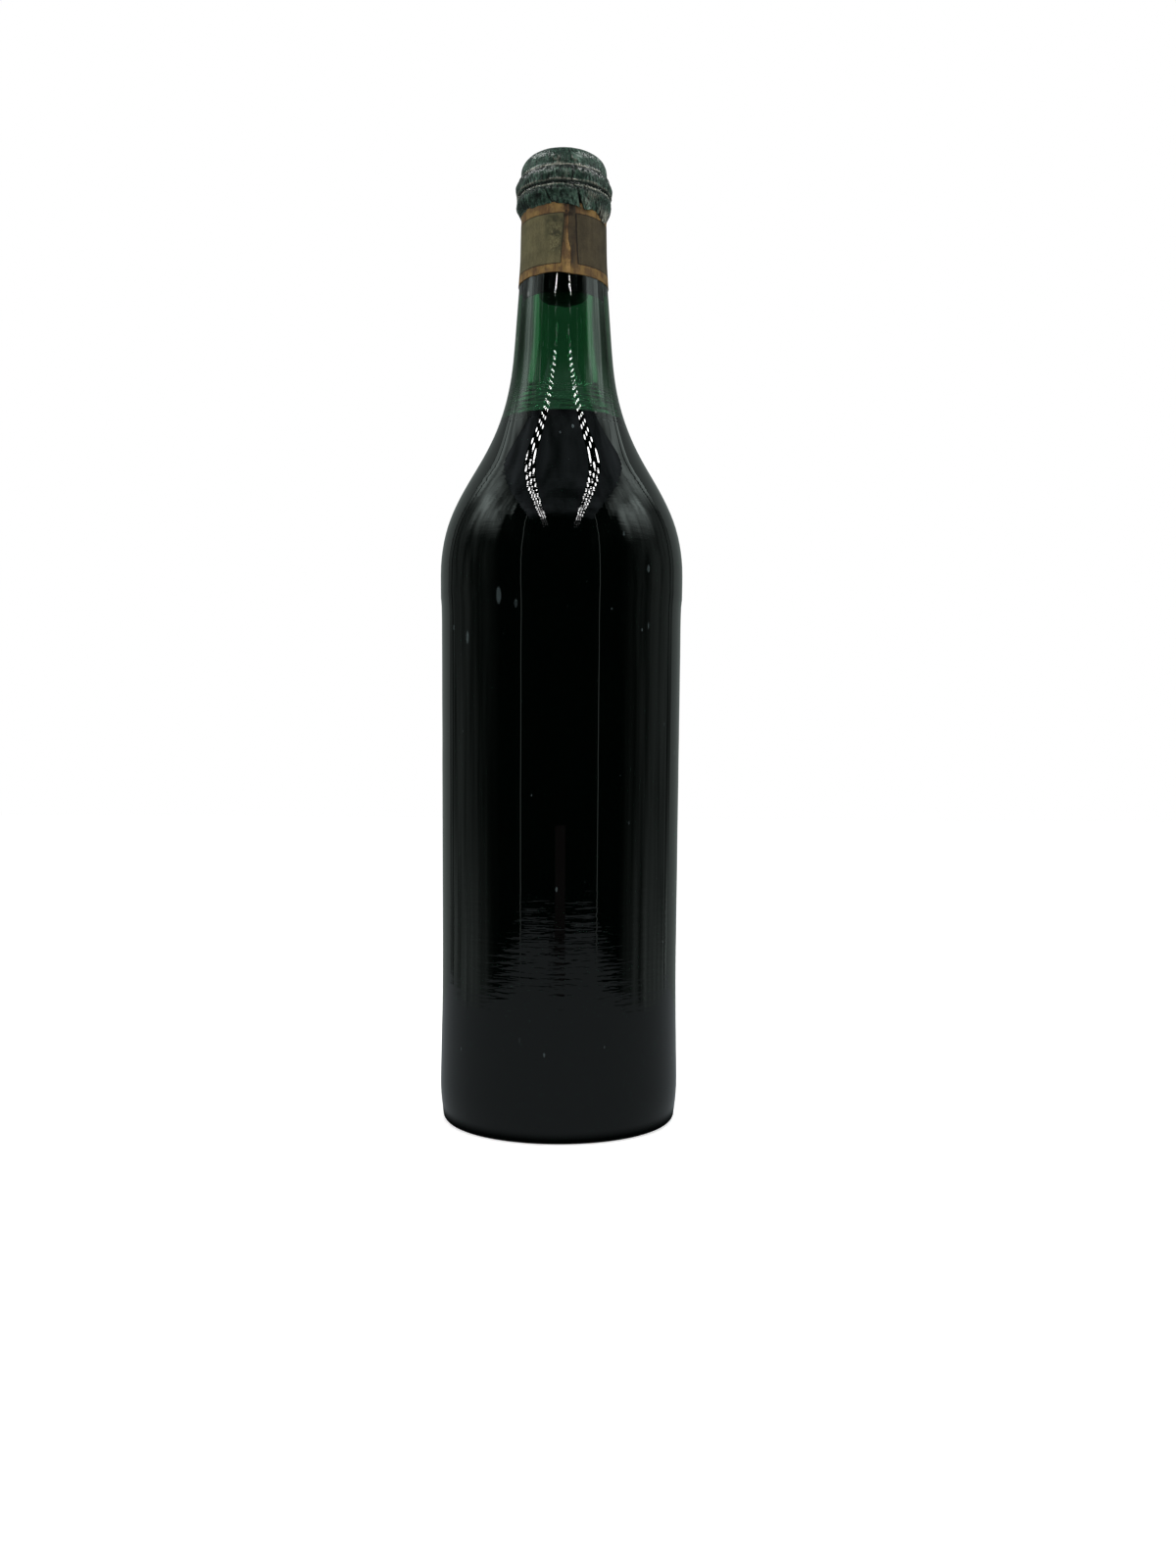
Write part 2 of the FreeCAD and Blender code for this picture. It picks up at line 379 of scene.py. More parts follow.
def follow(bends: list[Bend], start: float, end: float, offset: float, step: float) -> list[Point]:
    """Points up a chain of bends and the straight lines between them.

    Args:
        bends: The bends, from the bottom up.
        start: Facing of the first point, as an angle.
        end: Facing of the last point, as an angle.
        offset: How far the points stand out from the chain.
        step: Longest gap between two points.

    Returns:
        Radius and height of each point.
    """
    facings = [start] + [facing_between(a, b) for a, b in zip(bends, bends[1:])] + [end]
    points = [bends[0].at(start, offset)]
    for bend, enter, leave in zip(bends, facings, facings[1:]):
        first, last = bend.at(enter, offset), points[-1]
        length = abs((leave - enter) * (bend.radius + offset))
        arc_cuts = max(1, math.ceil(length / step), math.ceil(abs(leave - enter) / 0.2))
        line_cuts = max(1, math.ceil(math.dist(last, first) / step))
        line = [tuple(np.add(last, np.subtract(first, last) * i / line_cuts)) for i in range(1, line_cuts + 1)]
        arc = [bend.at(enter + (leave - enter) * i / arc_cuts, offset) for i in range(1, arc_cuts + 1)]
        least = 0.3 * min(step, length / arc_cuts)
        points += [p for p in line if math.dist(points[-1], p) > least]
        points += [p for p in arc if math.dist(points[-1], p) > least]
    return points


@dataclass(frozen=True)
class GlassForm:
    """Sizes of the glass, the same as in the part's source, and the outlines that follow."""

    shoulder_h: float = 192.3
    neck_h: float = 148.0
    shoulder_r: float = 43.0
    stand_inset: float = 4.5
    stand_width: float = 3.0
    heel_corner_r: float = 2.4
    heel_z: float = 14.0
    heel_inset: float = 1.1
    heel_round: float = 60.0
    waist_z: float = 52.0
    waist_inset: float = 1.55
    waist_hollow: float = 1200.0
    panel_top_drop: float = 21.0
    panel_top_inset: float = 0.55
    panel_top_hollow: float = 300.0
    swell_round: float = 335.0
    shoulder_convex_r: float = 60.0
    shoulder_concave_r: float = 85.5
    neck_drop: float = 40.3
    neck_r: float = 15.45
    neck_lean: float = 0.072
    neck_bend_r: float = 150.0
    neck_top_r: float = 14.9
    wall: float = 3.5
    floor_z: float = 7.0
    punt_rise: float = 7.0
    bore_r: float = 8.7
    inner_convex_r: float = 54.0
    inner_concave_r: float = 100.0
    bore_edge_r: float = 0.8
    lip_r: float = 14.87
    lip_round: float = 5.3
    lip_seat_drop: float = 6.4
    lip_seat_round: float = 0.75
    upper_ring_r: float = 16.8
    upper_ring_drop: float = 10.9
    upper_ring_round: float = 3.3
    groove_r: float = 16.2
    groove_drop: float = 13.9
    groove_round: float = 0.9
    lower_ring_r: float = 16.52
    lower_ring_drop: float = 16.4
    lower_ring_round: float = 2.6
    ring_fillet_drop: float = 21.1
    ring_fillet_r: float = 2.4
    fill_drop: float = 92.3

    @property
    def mouth_z(self) -> float:
        """Height of the mouth."""
        return self.shoulder_h + self.neck_h

    @property
    def level_z(self) -> float:
        """Height of the drink's surface."""
        return self.mouth_z - self.fill_drop

    def ogee(
        self, widest_r: float, convex_r: float, concave_r: float, neck_r: float, neck_z: float, lean: float
    ) -> list[Bend]:
        """Bends of a shoulder: convex from its widest point, then concave into the neck.

        Args:
            widest_r: Radius at the widest point.
            convex_r: Radius of the lower bend.
            concave_r: Radius of the upper bend.
            neck_r: Radius of the neck that the hollow runs into.
            neck_z: Height where the neck has that radius.
            lean: Lean of the neck there, in radians.

        Returns:
            The two bends.
        """
        convex = Bend(widest_r - convex_r, self.shoulder_h, convex_r)
        out_r, out_z = math.cos(lean), math.sin(lean)
        run = neck_r + concave_r * out_r - convex.r
        rise = neck_z + concave_r * out_z - convex.z
        along = rise * out_r - run * out_z
        spare = run ** 2 + rise ** 2 - (convex_r + concave_r) ** 2
        back = math.sqrt(along ** 2 - spare) - along
        return [convex, Bend(convex.r + run - back * out_z, convex.z + rise + back * out_r, -concave_r)]

    def side(self, inset: float) -> list[Bend]:
        """Bends of the body's side, from the heel to the widest point.

        Args:
            inset: How far they are moved in.

        Returns:
            The bends, from the bottom up.
        """
        panel_top_z = self.shoulder_h - self.panel_top_drop
        waist_r = self.shoulder_r - self.waist_inset + self.waist_hollow
        panel_top_r = self.shoulder_r - self.panel_top_inset + self.panel_top_hollow
        return [
            Bend(self.shoulder_r - self.heel_inset - self.heel_round, self.heel_z, self.heel_round - inset),
            Bend(waist_r, self.waist_z, -self.waist_hollow - inset),
            Bend(panel_top_r, panel_top_z, -self.panel_top_hollow - inset),
            Bend(self.shoulder_r - self.swell_round, self.shoulder_h, self.swell_round - inset),
        ]

    def top(self) -> list[Bend]:
        """Bends of the outside from the widest point to the mouth.

        Returns:
            The bends, from the bottom up.
        """
        neck_z = self.mouth_z - self.neck_drop
        lip_round = min(self.lip_round, self.lip_r - self.bore_r - self.bore_edge_r)
        neck = Bend(
            self.neck_r + self.neck_bend_r * math.cos(self.neck_lean),
            neck_z + self.neck_bend_r * math.sin(self.neck_lean),
            -self.neck_bend_r,
        )
        rings = [
            (self.neck_top_r, self.ring_fillet_drop, -self.ring_fillet_r),
            (self.lower_ring_r, self.lower_ring_drop, self.lower_ring_round),
            (self.groove_r, self.groove_drop, -self.groove_round),
            (self.upper_ring_r, self.upper_ring_drop, self.upper_ring_round),
            (self.lip_r, self.lip_seat_drop, -self.lip_seat_round),
            (self.lip_r, lip_round, lip_round),
        ]
        shoulder = self.ogee(
            self.shoulder_r, self.shoulder_convex_r, self.shoulder_concave_r, self.neck_r, neck_z, self.neck_lean
        )
        return shoulder + [neck] + [Bend(r - radius, self.mouth_z - drop, radius) for r, drop, radius in rings]

    def dome(self, edge_r: float, edge_z: float, cuts: int = FLOOR_POINTS) -> list[Point]:
        """Points of the dome of the floor or punt, from the axis out to its edge.

        Args:
            edge_r: Radius of the edge.
            edge_z: Height of the edge.
            cuts: Number of stretches.

        Returns:
            Radius and height of each point.
        """
        radius = (edge_r ** 2 + self.punt_rise ** 2) / (2 * self.punt_rise)
        turn = math.asin(edge_r / radius)
        centre_z = edge_z + self.punt_rise - radius
        angles = [turn * i / cuts for i in range(cuts + 1)]
        return [(radius * math.sin(a), centre_z + radius * math.cos(a)) for a in angles]

    def outside(self, step: float) -> list[Point]:
        """Points from the punt's centre, under the heel and up to the mouth.

        Args:
            step: Longest gap between two points.

        Returns:
            Radius and height of each point.
        """
        stand_r = self.shoulder_r - self.stand_inset
        corner = Bend(stand_r, self.heel_corner_r, self.heel_corner_r)
        punt = self.dome(stand_r - self.stand_width, 0)
        return punt + follow([corner] + self.side(0) + self.top(), DOWNWARD, UPWARD, 0, step)

    def inside(self, offset: float, step: float) -> list[Point]:
        """Points of the cavity, from the floor's centre to the mouth.

        Args:
            offset: How far the cavity is grown.
            step: Longest gap between two points.

        Returns:
            Radius and height of each point.
        """
        corner_r = self.heel_z - self.floor_z
        floor_r = self.shoulder_r - self.heel_inset - self.wall - corner_r
        bends = [Bend(floor_r, self.heel_z, corner_r)] + self.side(self.wall)
        bends += self.ogee(
            self.shoulder_r - self.wall, self.inner_convex_r, self.inner_concave_r, self.bore_r, self.mouth_z, 0
        )
        bends.append(Bend(self.bore_r + self.bore_edge_r, self.mouth_z - self.bore_edge_r, -self.bore_edge_r))
        walls = follow(bends, DOWNWARD, DOWNWARD, offset, step)
        return self.dome(floor_r, self.floor_z - offset)[:-1] + walls


# ---------------------------------------------------------------- finishes

@dataclass(frozen=True)
class Finish:
    """What a surface is made of.

    Each of its patterns is noise: a name, the size of a lump in millimetres, how much
    finer it is up the axis, its detail and its roughness.
    """

    name: str
    patterns: Patterns

    def material(self) -> Material:
        """Make the material.

        Returns:
            The material, with the patterns and the surface of its finish.
        """
        material, nodes = empty_material(self.name)
        for name, size, finer, detail, roughness in self.patterns:
            place = nodes.add("Mapping", Vector=nodes.place, Scale=(1, 1, finer))
            nodes.pattern[name] = nodes.add(
                "TexNoise", Vector=place, Scale=1 / (size * MM), Detail=detail, Roughness=roughness
            )
        nodes.add("OutputMaterial", Surface=self.surface(nodes), Volume=self.volume(nodes))
        return material

    def surface(self, nodes: Nodes) -> Node:
        """Add the surface shader; each finish has its own."""
        raise NotImplementedError

    def volume(self, nodes: Nodes) -> Optional[Node]:
        """Add the shader of what is inside, if light goes in."""
        return None


@dataclass(frozen=True)
class BottleGlass(Finish):
    """Dead-leaf green soda-lime glass, blown in a mould.

    A skin with a clean gloss over faint cords and seeds.  The colour is in its depth:
    an empty neck is deep green, and where the wine stands behind it the wall is black.
    Bands are rows of middle height, half height and depth of relief.  Scars are rows of
    angle, height, half width, half height and how much they show.
    """

    name: str = "bottle glass, blown, dead-leaf green"
    patterns: Patterns = (
        ("cords", 30.0, 2.2, 2.0, 0.4), ("waves", 9.0, 7.0, 2.0, 0.5),
        ("scuffs", 1.6, 1.0, 3.0, 0.6), ("tide", 10.0, 12.0, 2.0, 0.5),
    )
    ior: float = 1.52
    tint: str = "#78C69F"
    density: float = 280.0
    clear: str = "#FFFFFF"
    deep: str = "#010302"
    deep_below: float = 243.5
    seed: str = "#6E7C7E"
    seed_mm: float = 4.0
    tide: str = "#0C0B05"
    tide_from: float = 249.0
    tide_to: float = 258.0
    outer_bands: tuple[Place, ...] = ((64, 30, 0.06), (205, 30, 0.03))
    inner_bands: tuple[Place, ...] = ((251, 8, 0.35), (275, 18, 0.1))
    scar_r: float = 42.8
    scars: tuple[tuple[float, float, float, float, float], ...] = (
        (-28.0, 180.3, 1.1, 3.2, 0.2), (-46.9, 167.4, 0.9, 2.8, 0.26), (30.0, 201.5, 0.7, 1.6, 0.3),
        (43.5, 190.5, 0.7, 1.5, 0.24), (44.5, 171.5, 0.6, 1.8, 0.24), (-52.0, 162.0, 0.5, 1.0, 0.3),
        (-19.5, 177.5, 0.8, 1.8, 0.1), (24.0, 176.0, 0.5, 0.6, 0.26), (-5.0, 54.0, 0.7, 1.6, 0.12),
        (52.0, 47.0, 0.7, 1.4, 0.24), (15.0, 116.5, 0.6, 0.8, 0.16), (-40.0, 92.0, 0.6, 1.2, 0.16),
    )

    def waviness(self, nodes: Nodes, inside: NodeSocket, outside: Node) -> Node:
        """Bend the light by cords all over and by waves in a few bands.

        Args:
            nodes: The material's nodes.
            inside: Mask of the inner wall.
            outside: Mask of the outer skin.

        Returns:
            The node that holds the bent normal.
        """
        layers = [(0.3, 0.08, nodes.pattern["cords"])]
        for bands, wall in ((self.outer_bands, outside), (self.inner_bands, inside)):
            for middle, half, depth in bands:
                above = nodes.rise("Z", middle - half, middle - half * 0.4)
                below = nodes.rise("Z", middle + half, middle + half * 0.4)
                layers.append((1.0, depth, nodes.times(above, below, wall, nodes.pattern["waves"])))
        return nodes.relief(*layers)

    def seeds(self, nodes: Nodes) -> Node:
        """Scatter small bubbles, a little longer than wide.

        Args:
            nodes: The material's nodes.

        Returns:
            The node that holds their mask.
        """
        place = nodes.add("Mapping", Vector=nodes.place, Scale=(1, 1, 0.4))
        cells = nodes.add("TexVoronoi", Vector=place, Scale=1 / (self.seed_mm * MM), Randomness=1.0).outputs
        shares = nodes.add("SeparateColor", cells["Color"]).outputs
        size = nodes.add("MapRange", shares["Red"], 0.8, 1.0, 0.02, 0.12)
        spot = nodes.add("Math", cells["Distance"], size, operation="LESS_THAN")
        return nodes.times(spot, shares["Green"], 0.5)

    def scar_marks(self, nodes: Nodes) -> list[tuple[Node, str]]:
        """Mark the scuffs that stand out from the rest.

        Args:
            nodes: The material's nodes.

        Returns:
            Mask and colour of each.
        """
        marks = []
        place = nodes.place
        for turn, z, half_wide, half_high, share in self.scars:
            angle, wide, high = math.radians(turn), 1 / (half_wide * MM), 1 / (half_high * MM)
            middle = (self.scar_r * MM * math.sin(angle), -self.scar_r * MM * math.cos(angle), z * MM)
            away = nodes.add("VectorMath", place, middle, operation="SUBTRACT")
            away = nodes.add("VectorMath", away, (wide, wide, high), operation="MULTIPLY")
            away = nodes.add("VectorMath", away, operation="LENGTH").outputs["Value"]
            marks.append((nodes.add("MapRange", away, 1.0, 0.7, To_Max=share), self.seed))
        return marks

    def surface(self, nodes: Nodes) -> Node:
        """Add the skin, opaque where the drink stands behind it.

        Args:
            nodes: The material's nodes, among them the attribute "inside".

        Returns:
            The surface shader.
        """
        height = nodes.add("SeparateXYZ", nodes.place).outputs["Z"]
        inside = nodes.add("Attribute", attribute_name="inside").outputs["Fac"]
        rough = nodes.add("MapRange", nodes.pattern["scuffs"], 0.68, 0.8, 0.0, 0.2)
        clear = nodes.add("Math", height, self.deep_below * MM, operation="GREATER_THAN")
        lines = nodes.add("MapRange", nodes.pattern["tide"], 0.56, 0.61)
        fade = nodes.add("MapRange", height, self.tide_from * MM, self.tide_to * MM, 0.7, 0.0)
        seeded, tide = self.seeds(nodes), nodes.times(lines, fade, inside)
        outside, whole, clean = (
            nodes.add("Math", 1.0, mask, operation="SUBTRACT") for mask in (inside, seeded, tide)
        )
        skin = nodes.layered(
            self.deep, (clear, self.clear), (seeded, self.seed), (tide, self.tide), *self.scar_marks(nodes)
        )
        return nodes.add(
            "BsdfPrincipled", Base_Color=skin, Roughness=rough, IOR=self.ior,
            Transmission_Weight=nodes.times(clear, whole, clean), Normal=self.waviness(nodes, inside, outside),
        )

    def volume(self, nodes: Nodes) -> Node:
        """Add the absorption that makes the glass green."""
        return nodes.add("VolumeAbsorption", Color=self.tint, Density=self.density)


@dataclass(frozen=True)
class RedVermouth(Finish):
    """Sweet red vermouth, red-brown and clear in a glass, but black in the depth of a bottle.

    Against the wall it hardly mirrors, because its index is close to that of the glass,
    so its skin takes all the light that enters it.  A little of its red shows at the
    surface, where it creeps up the wall in a thin film.
    """

    name: str = "red vermouth, deep"
    patterns: Patterns = (("cloud", 22.0, 1.0, 2.0, 0.5),)
    deep: str = "#0A0304"
    thin: str = "#2A0F08"
    surface_z: float = 248.0
    film_h: float = 1.6

    def surface(self, nodes: Nodes) -> Node:
        """Add the skin of the drink.

        Args:
            nodes: The material's nodes.

        Returns:
            The surface shader.
        """
        height = nodes.add("SeparateXYZ", nodes.place).outputs["Z"]
        film = nodes.add(
            "MapRange", height, (self.surface_z - self.film_h) * MM, (self.surface_z + self.film_h) * MM
        )
        colour = nodes.layered(self.deep, (nodes.times(film, nodes.pattern["cloud"]), self.thin))
        return nodes.add("BsdfPrincipled", Base_Color=colour, Roughness=0.08, Specular_IOR_Level=0.0)


@dataclass(frozen=True)
class NaturalCork(Finish):
    """Punched natural cork: soft and matt, tan with dark lenticels that run across it."""

    name: str = "natural cork, punched"
    patterns: Patterns = (("grain", 1.2, 1.0, 4.0, 0.5),)
    light: str = "#B08A5C"
    dark: str = "#7E5A38"
    pore: str = "#3A2617"
    pore_mm: float = 2.5
    # Wine stain at the foot, and painted shade that darkens the cork nearly to its top inside the neck.
    stain: str = "#060303"
    stain_and_shade_to_z: float = 338.0
    creep_mm: float = 8.0
    soft_mm: float = 6.0

    def surface(self, nodes: Nodes) -> Node:
        """Add the skin, stained from below by the drink and darkened nearly to its top by painted shade.

        Args:
            nodes: The material's nodes.

        Returns:
            The surface shader.
        """
        add, grain = nodes.add, nodes.pattern["grain"]
        flat = add("Mapping", Vector=nodes.place, Scale=(1, 1, 3))
        pores = add("TexVoronoi", Vector=flat, Scale=1 / (self.pore_mm * MM))
        between = add("MapRange", pores, 0.12, 0.22)
        height = add("SeparateXYZ", nodes.place).outputs["Z"]
        creep = add("Math", grain, self.creep_mm * MM, height, operation="MULTIPLY_ADD")
        # Stain at the foot and painted shade above it, up to a wavy line near the top.
        soaked_and_shaded = add("MapRange", creep, (self.stain_and_shade_to_z + self.soft_mm) * MM, self.stain_and_shade_to_z * MM)
        base = nodes.layered(self.dark, (grain, self.light))
        colour = nodes.layered(self.pore, (between, base), (soaked_and_shaded, self.stain))
        return add("BsdfPrincipled", Base_Color=colour, Roughness=0.85, Normal=nodes.relief((0.5, 0.2, between)))


@dataclass(frozen=True)
class PaintedFoil(Finish):
    """Tin-lead foil lacquered dark green, crimped over the mouth by hand.

    A satin skin with small dents and upright creases, rubbed through to dull grey
    metal on the ridges with a painted highlight along them, and cracked to black;
    painted shade darkens the crimps, folds, groove and the foot of each ridge.
    """

    name: str = "tin-lead foil, lacquered dark green"
    patterns: Patterns = (
        ("mottle", 3.5, 1.0, 3.0, 0.6), ("dents", 1.3, 1.0, 3.0, 0.55),
        ("creases", 0.8, 0.22, 2.0, 0.5), ("grit", 0.4, 1.0, 2.0, 0.7),
    )
    deep: str = "#141F1A"
    mid: str = "#2D4338"
    pale: str = "#617D6D"
    metal: str = "#A3A294"
    dull: str = "#45443D"
    # Painted shade: the dark laid into crimp valleys, crumple dips, the groove and a line under each ridge.
    cavity_shade: str = "#0C120F"
    # Black of a real crack, also laid as painted shade in the groove, the fold lines and along the slit.
    crack_and_shade: str = "#080A08"

    def surface(self, nodes: Nodes) -> Node:
        """Add the skin of the foil.

        Args:
            nodes: The material's nodes, among them the attributes of wear with painted
                highlight, painted shade, cracks with painted shade, and the flap's painted highlight.

        Returns:
            The surface shader.
        """
        add, (mottle, dents, creases, grit) = nodes.add, nodes.pattern.values()
        rub_and_highlight, cavity_shade, crack_and_shade, flap_highlight = (
            add("Attribute", attribute_name=name).outputs["Fac"] for name in ("rub_and_highlight", "cavity_shade", "crack_and_shade", "flap_highlight")
        )
        low = add("MapRange", creases, 0.34, 0.6)
        high = add("MapRange", mottle, 0.44, 0.7, To_Max=0.75)
        # Painted highlight on the lifted flap: its paint turns pale there.
        high = add("Math", high, nodes.times(flap_highlight, 0.8), operation="MAXIMUM")
        rubbed = add("Math", rub_and_highlight, grit, operation="ADD")
        bare = add("MapRange", rubbed, 0.92, 1.2)
        # Bare metal grows lighter with this attribute: wear on ridges and patches, and a painted highlight along
        # crests and dent rims.
        metal = nodes.layered(self.dull, (rub_and_highlight, self.metal))
        colour = nodes.layered(
            self.deep, (low, self.mid), (nodes.times(low, high), self.pale), (bare, metal),
            # Painted shade in the hollows, then cracks, with painted shade in the groove, fold lines and slit.
            (cavity_shade, self.cavity_shade), (crack_and_shade, self.crack_and_shade),
        )
        metallic = add("Math", bare, 0.4, 0.15, operation="MULTIPLY_ADD")
        rough = add("MapRange", dents, To_Min=0.08, To_Max=0.42)
        relief = nodes.relief((0.8, 0.35, dents), (0.7, 0.3, creases), (0.4, 0.08, grit))
        return add("BsdfPrincipled", Base_Color=colour, Metallic=metallic, Roughness=rough, Normal=relief)


@dataclass(frozen=True)
class AgedLabelPaper(Finish):
    """Uncoated label paper, printed with plain panels and browned by age.

    Matt, with soft fibre, stains, faint upright creases and a torn end where it laps
    over; a painted shadow lies beside the torn edge and painted shade in a fold at the
    top.  Angles are degrees from the front, positive to the right, and heights
    millimetres.
    """

    name: str = "label paper, uncoated, printed and aged"
    patterns: Patterns = (
        ("wobble", 2.5, 1.0, 2.0, 0.5), ("blotches", 4.0, 1.0, 4.0, 0.6),
        ("creases", 1.4, 0.12, 3.0, 0.55), ("fibres", 0.35, 0.5, 3.0, 0.7),
    )
    ochre: str = "#665032"
    bright: str = "#7B6136"
    rust: str = "#5C4027"
    olive: str = "#5B563B"
    brown: str = "#453D2B"
    band: str = "#2C2921"
    fibre: str = "#967748"
    ink_and_shade: str = "#17130B"
    stain: str = "#2A2A1A"
    pale: str = "#75714F"
    line_mm: float = 0.24
    mean_r: float = 15.6
    frame_top_z: float = 316.0
    frame_bottom_z: float = 298.3
    left_edge: Point = (-3.0, 1.9)
    right_edge: Point = (19.6, 17.0)

    def surface(self, nodes: Nodes) -> Node:
        """Add the printed paper.

        Args:
            nodes: The material's nodes, among them the attribute "lap": how far a place
                lies to the right of the torn edge, in degrees.

        Returns:
            The surface shader.
        """
        add, both, (wobble, blotches, creases, fibres) = nodes.add, nodes.times, nodes.pattern.values()
        wobble = add("Math", wobble, 0.5, operation="SUBTRACT")
        axes = add("SeparateXYZ", nodes.place).outputs
        turn = add("Math", axes["X"], both(axes["Y"], -1.0), operation="ARCTAN2")
        turn = add("Math", wobble, 1.6, both(turn, 180 / math.pi), operation="MULTIPLY_ADD")
        height = add("Math", wobble, 0.35, both(axes["Z"], 1 / MM), operation="MULTIPLY_ADD")
        lap = add("Attribute", attribute_name="lap").outputs["Fac"]

        def past(value: Any, start: float, soft: float) -> Node:
            """Mask that is 0 before start and 1 after it; a negative soft turns it round."""
            ends = start - soft / 2, start + soft / 2
            return add("MapRange", value, *ends, interpolation_type="SMOOTHSTEP")

        def either(first: Node, second: Node) -> Node:
            """Mask where one mask or the other is set."""
            return add("Math", first, second, operation="MAXIMUM")

        def slanted(edge: Point) -> Node:
            """Degrees past an edge that slants from its foot to its top."""
            lean = add("MapRange", height, self.frame_bottom_z, self.frame_top_z, *edge, clamp=False)
            return add("Math", turn, lean, operation="SUBTRACT")

        def line_at(value: Any, middle: float, width: float) -> Node:
            """Mask of a thin printed line."""
            away = add("Math", add("Math", value, middle, operation="SUBTRACT"), operation="ABSOLUTE")
            return past(away, width * 0.75, -width * 0.5)

        line_turn = self.line_mm / (math.radians(1) * self.mean_r)
        framed = both(past(height, self.frame_bottom_z, 0.2), past(height, self.frame_top_z, -0.2))
        left, right = slanted(self.left_edge), slanted(self.right_edge)
        left_of, right_of = past(left, 0, -line_turn), past(right, 0, line_turn)
        strip = both(past(left, 0.5, 1), past(lap, 0, -0.4))
        under_lap = both(past(lap, 0.4, 0.4), past(right, 0, -line_turn))
        frayed = both(
            line_at(lap, -1.9, 3.6), past(blotches, 0.47, 0.12), past(fibres, 0.42, 0.1), past(height, 309, -5)
        )
        level = either(*(line_at(height, z, self.line_mm) for z in (self.frame_bottom_z, self.frame_top_z)))
        sides = either(line_at(left, 0, line_turn), line_at(right, 0, line_turn * 1.6))
        lines = either(both(level, either(left_of, right_of)), both(sides, framed))
        patch = both(past(turn, -23, 12), past(turn, 4, -8), past(height, 303, 8), past(height, 315.5, -2))
        faded = both(past(turn, -16, 6), past(turn, -3, -4), past(height, 298.5, 2), past(height, 312, -6))
        fold_shade = both(past(turn, 0.5, 3), past(turn, 14, -5), past(height, 314.6, 1.6))
        colour = nodes.layered(
            self.ochre,
            (past(blotches, 0.5, 0.22), self.bright),
            (both(past(creases, 0.56, 0.12), 0.7), self.rust),
            (both(framed, left_of), self.olive),
            (both(framed, right_of), self.brown),
            (both(strip, past(height, 307, 5), 0.85), self.rust),
            (both(strip, past(height, 308, 4), past(blotches, 0.5, -0.1), 0.6), self.band),
            (both(under_lap, past(height, 297.5, 3), 0.85), self.band),
            (both(under_lap, past(lap, 7, 6), past(height, 306, -8), 0.55), self.ochre),
            (both(frayed, 0.65), self.fibre),
            # Painted shadow that the torn edge casts on the paper beneath.
            (both(line_at(lap, 0.8, 0.8), past(height, 299, 6), 0.75), self.ink_and_shade),
            (both(lines, 0.85), self.ink_and_shade),
            (both(patch, past(blotches, 0.47, 0.16), 0.8), self.stain),
            (both(faded, past(fibres, 0.52, 0.1), past(blotches, 0.5, -0.1), 0.6), self.pale),
            # Painted shade in a fold at the top.
            (both(fold_shade, past(blotches, 0.52, -0.16), 0.8), self.ink_and_shade),
        )
        mottle = add("MapRange", blotches, 0.3, 0.7, 0.78, 1.14)
        speckle = add("MapRange", fibres, 0.3, 0.7, 0.78, 1.15)
        streak = add("MapRange", creases, 0.35, 0.65, 1.1, 0.86)
        colour = add("VectorMath", colour, Scale=both(mottle, speckle, streak), operation="SCALE")
        return add(
            "BsdfPrincipled", Base_Color=colour, Roughness=0.78, Specular_IOR_Level=0.3,
            Normal=nodes.relief((0.5, 0.08, fibres), (0.5, 0.25, creases)),
        )


# ---------------------------------------------------------------- pieces

@dataclass
class GlassBottle:
    """The bottle itself: punt, body, ogee shoulder, neck and rings in one closed wall."""

    form: GlassForm
    steps: int = 192
    outer_step: float = 3.0
    inner_step: float = 4.0
    ripple_mm: float = 0.05
    inner_wave_mm: float = 0.22
    soften_mm: float = 8.0
    soft_from: Point = (205.0, 222.0)
    soft_to: Point = (284.0, 274.0)

    def softened(self, points: list[Point]) -> list[Point]:
        """Let the neck run softly from bend to bend, as in blown glass.

        Args:
            points: The outline.

        Returns:
            The outline, each radius of its neck drawn towards the mean round it.
        """
        reach = np.linspace(-2, 2, 17)
        rising = np.array([p for p in points if p[1] > self.soft_from[0] - 2 * self.soften_mm])
        result = []
        for r, z in points:
            share = step_between(z, *self.soft_from) * step_between(z, *self.soft_to)
            if share > 0:
                near = np.interp(z + self.soften_mm * reach, rising[:, 1], rising[:, 0])
                r += (np.average(near, weights=np.exp(-reach ** 2)) - r) * float(share)
            result.append((r, z))
        return result

    def inner_wave(self, places: np.ndarray) -> np.ndarray:
        """How far the inner wall swells out at each place; none where the cork sits."""
        z = places[:, 2]
        lumps = field_noise(places, (14, 14, 9), 3.1) + 0.5 * field_noise(places, (7, 7, 5), 8.7)
        return self.inner_wave_mm * lumps * step_between(z, 30, 45) * step_between(z, 292, 284)

    def outer_ripple(self, places: np.ndarray) -> np.ndarray:
        """How far the outer skin swells at each place: broad, flat waves of the mould."""
        z = places[:, 2]
        waves = field_noise(places, (60, 60, 24), 5.3) + 0.35 * field_noise(places, (30, 30, 11), 1.9)
        return -self.ripple_mm * np.abs(waves) * step_between(z, 4, 16) * step_between(z, 322, 300)

    def build(self) -> Object:
        """Make the glass.

        Returns:
            The bottle, standing in for its CAD solid.
        """
        outer = self.softened(self.form.outside(self.outer_step))
        inner = self.form.inside(0, self.inner_step)
        piece = lathe("blown_bottle", outer + inner[::-1], self.steps)
        places = places_of(piece)
        radius = np.hypot(places[:, 0], places[:, 1])
        is_inner = (np.abs(radius - radius_at(inner, places[:, 2])) < 0.1) & (places[:, 2] > self.form.floor_z)
        shift = np.where(is_inner, self.inner_wave(places), self.outer_ripple(places))
        shift *= radius > 20 * (places[:, 2] < 30)
        push_out(places, shift)
        set_places(piece, places)
        set_attribute(piece, "inside", is_inner.astype(float))
        finish_piece(piece, BottleGlass().material(), "dark_glass", "bottle_glass")
        return piece


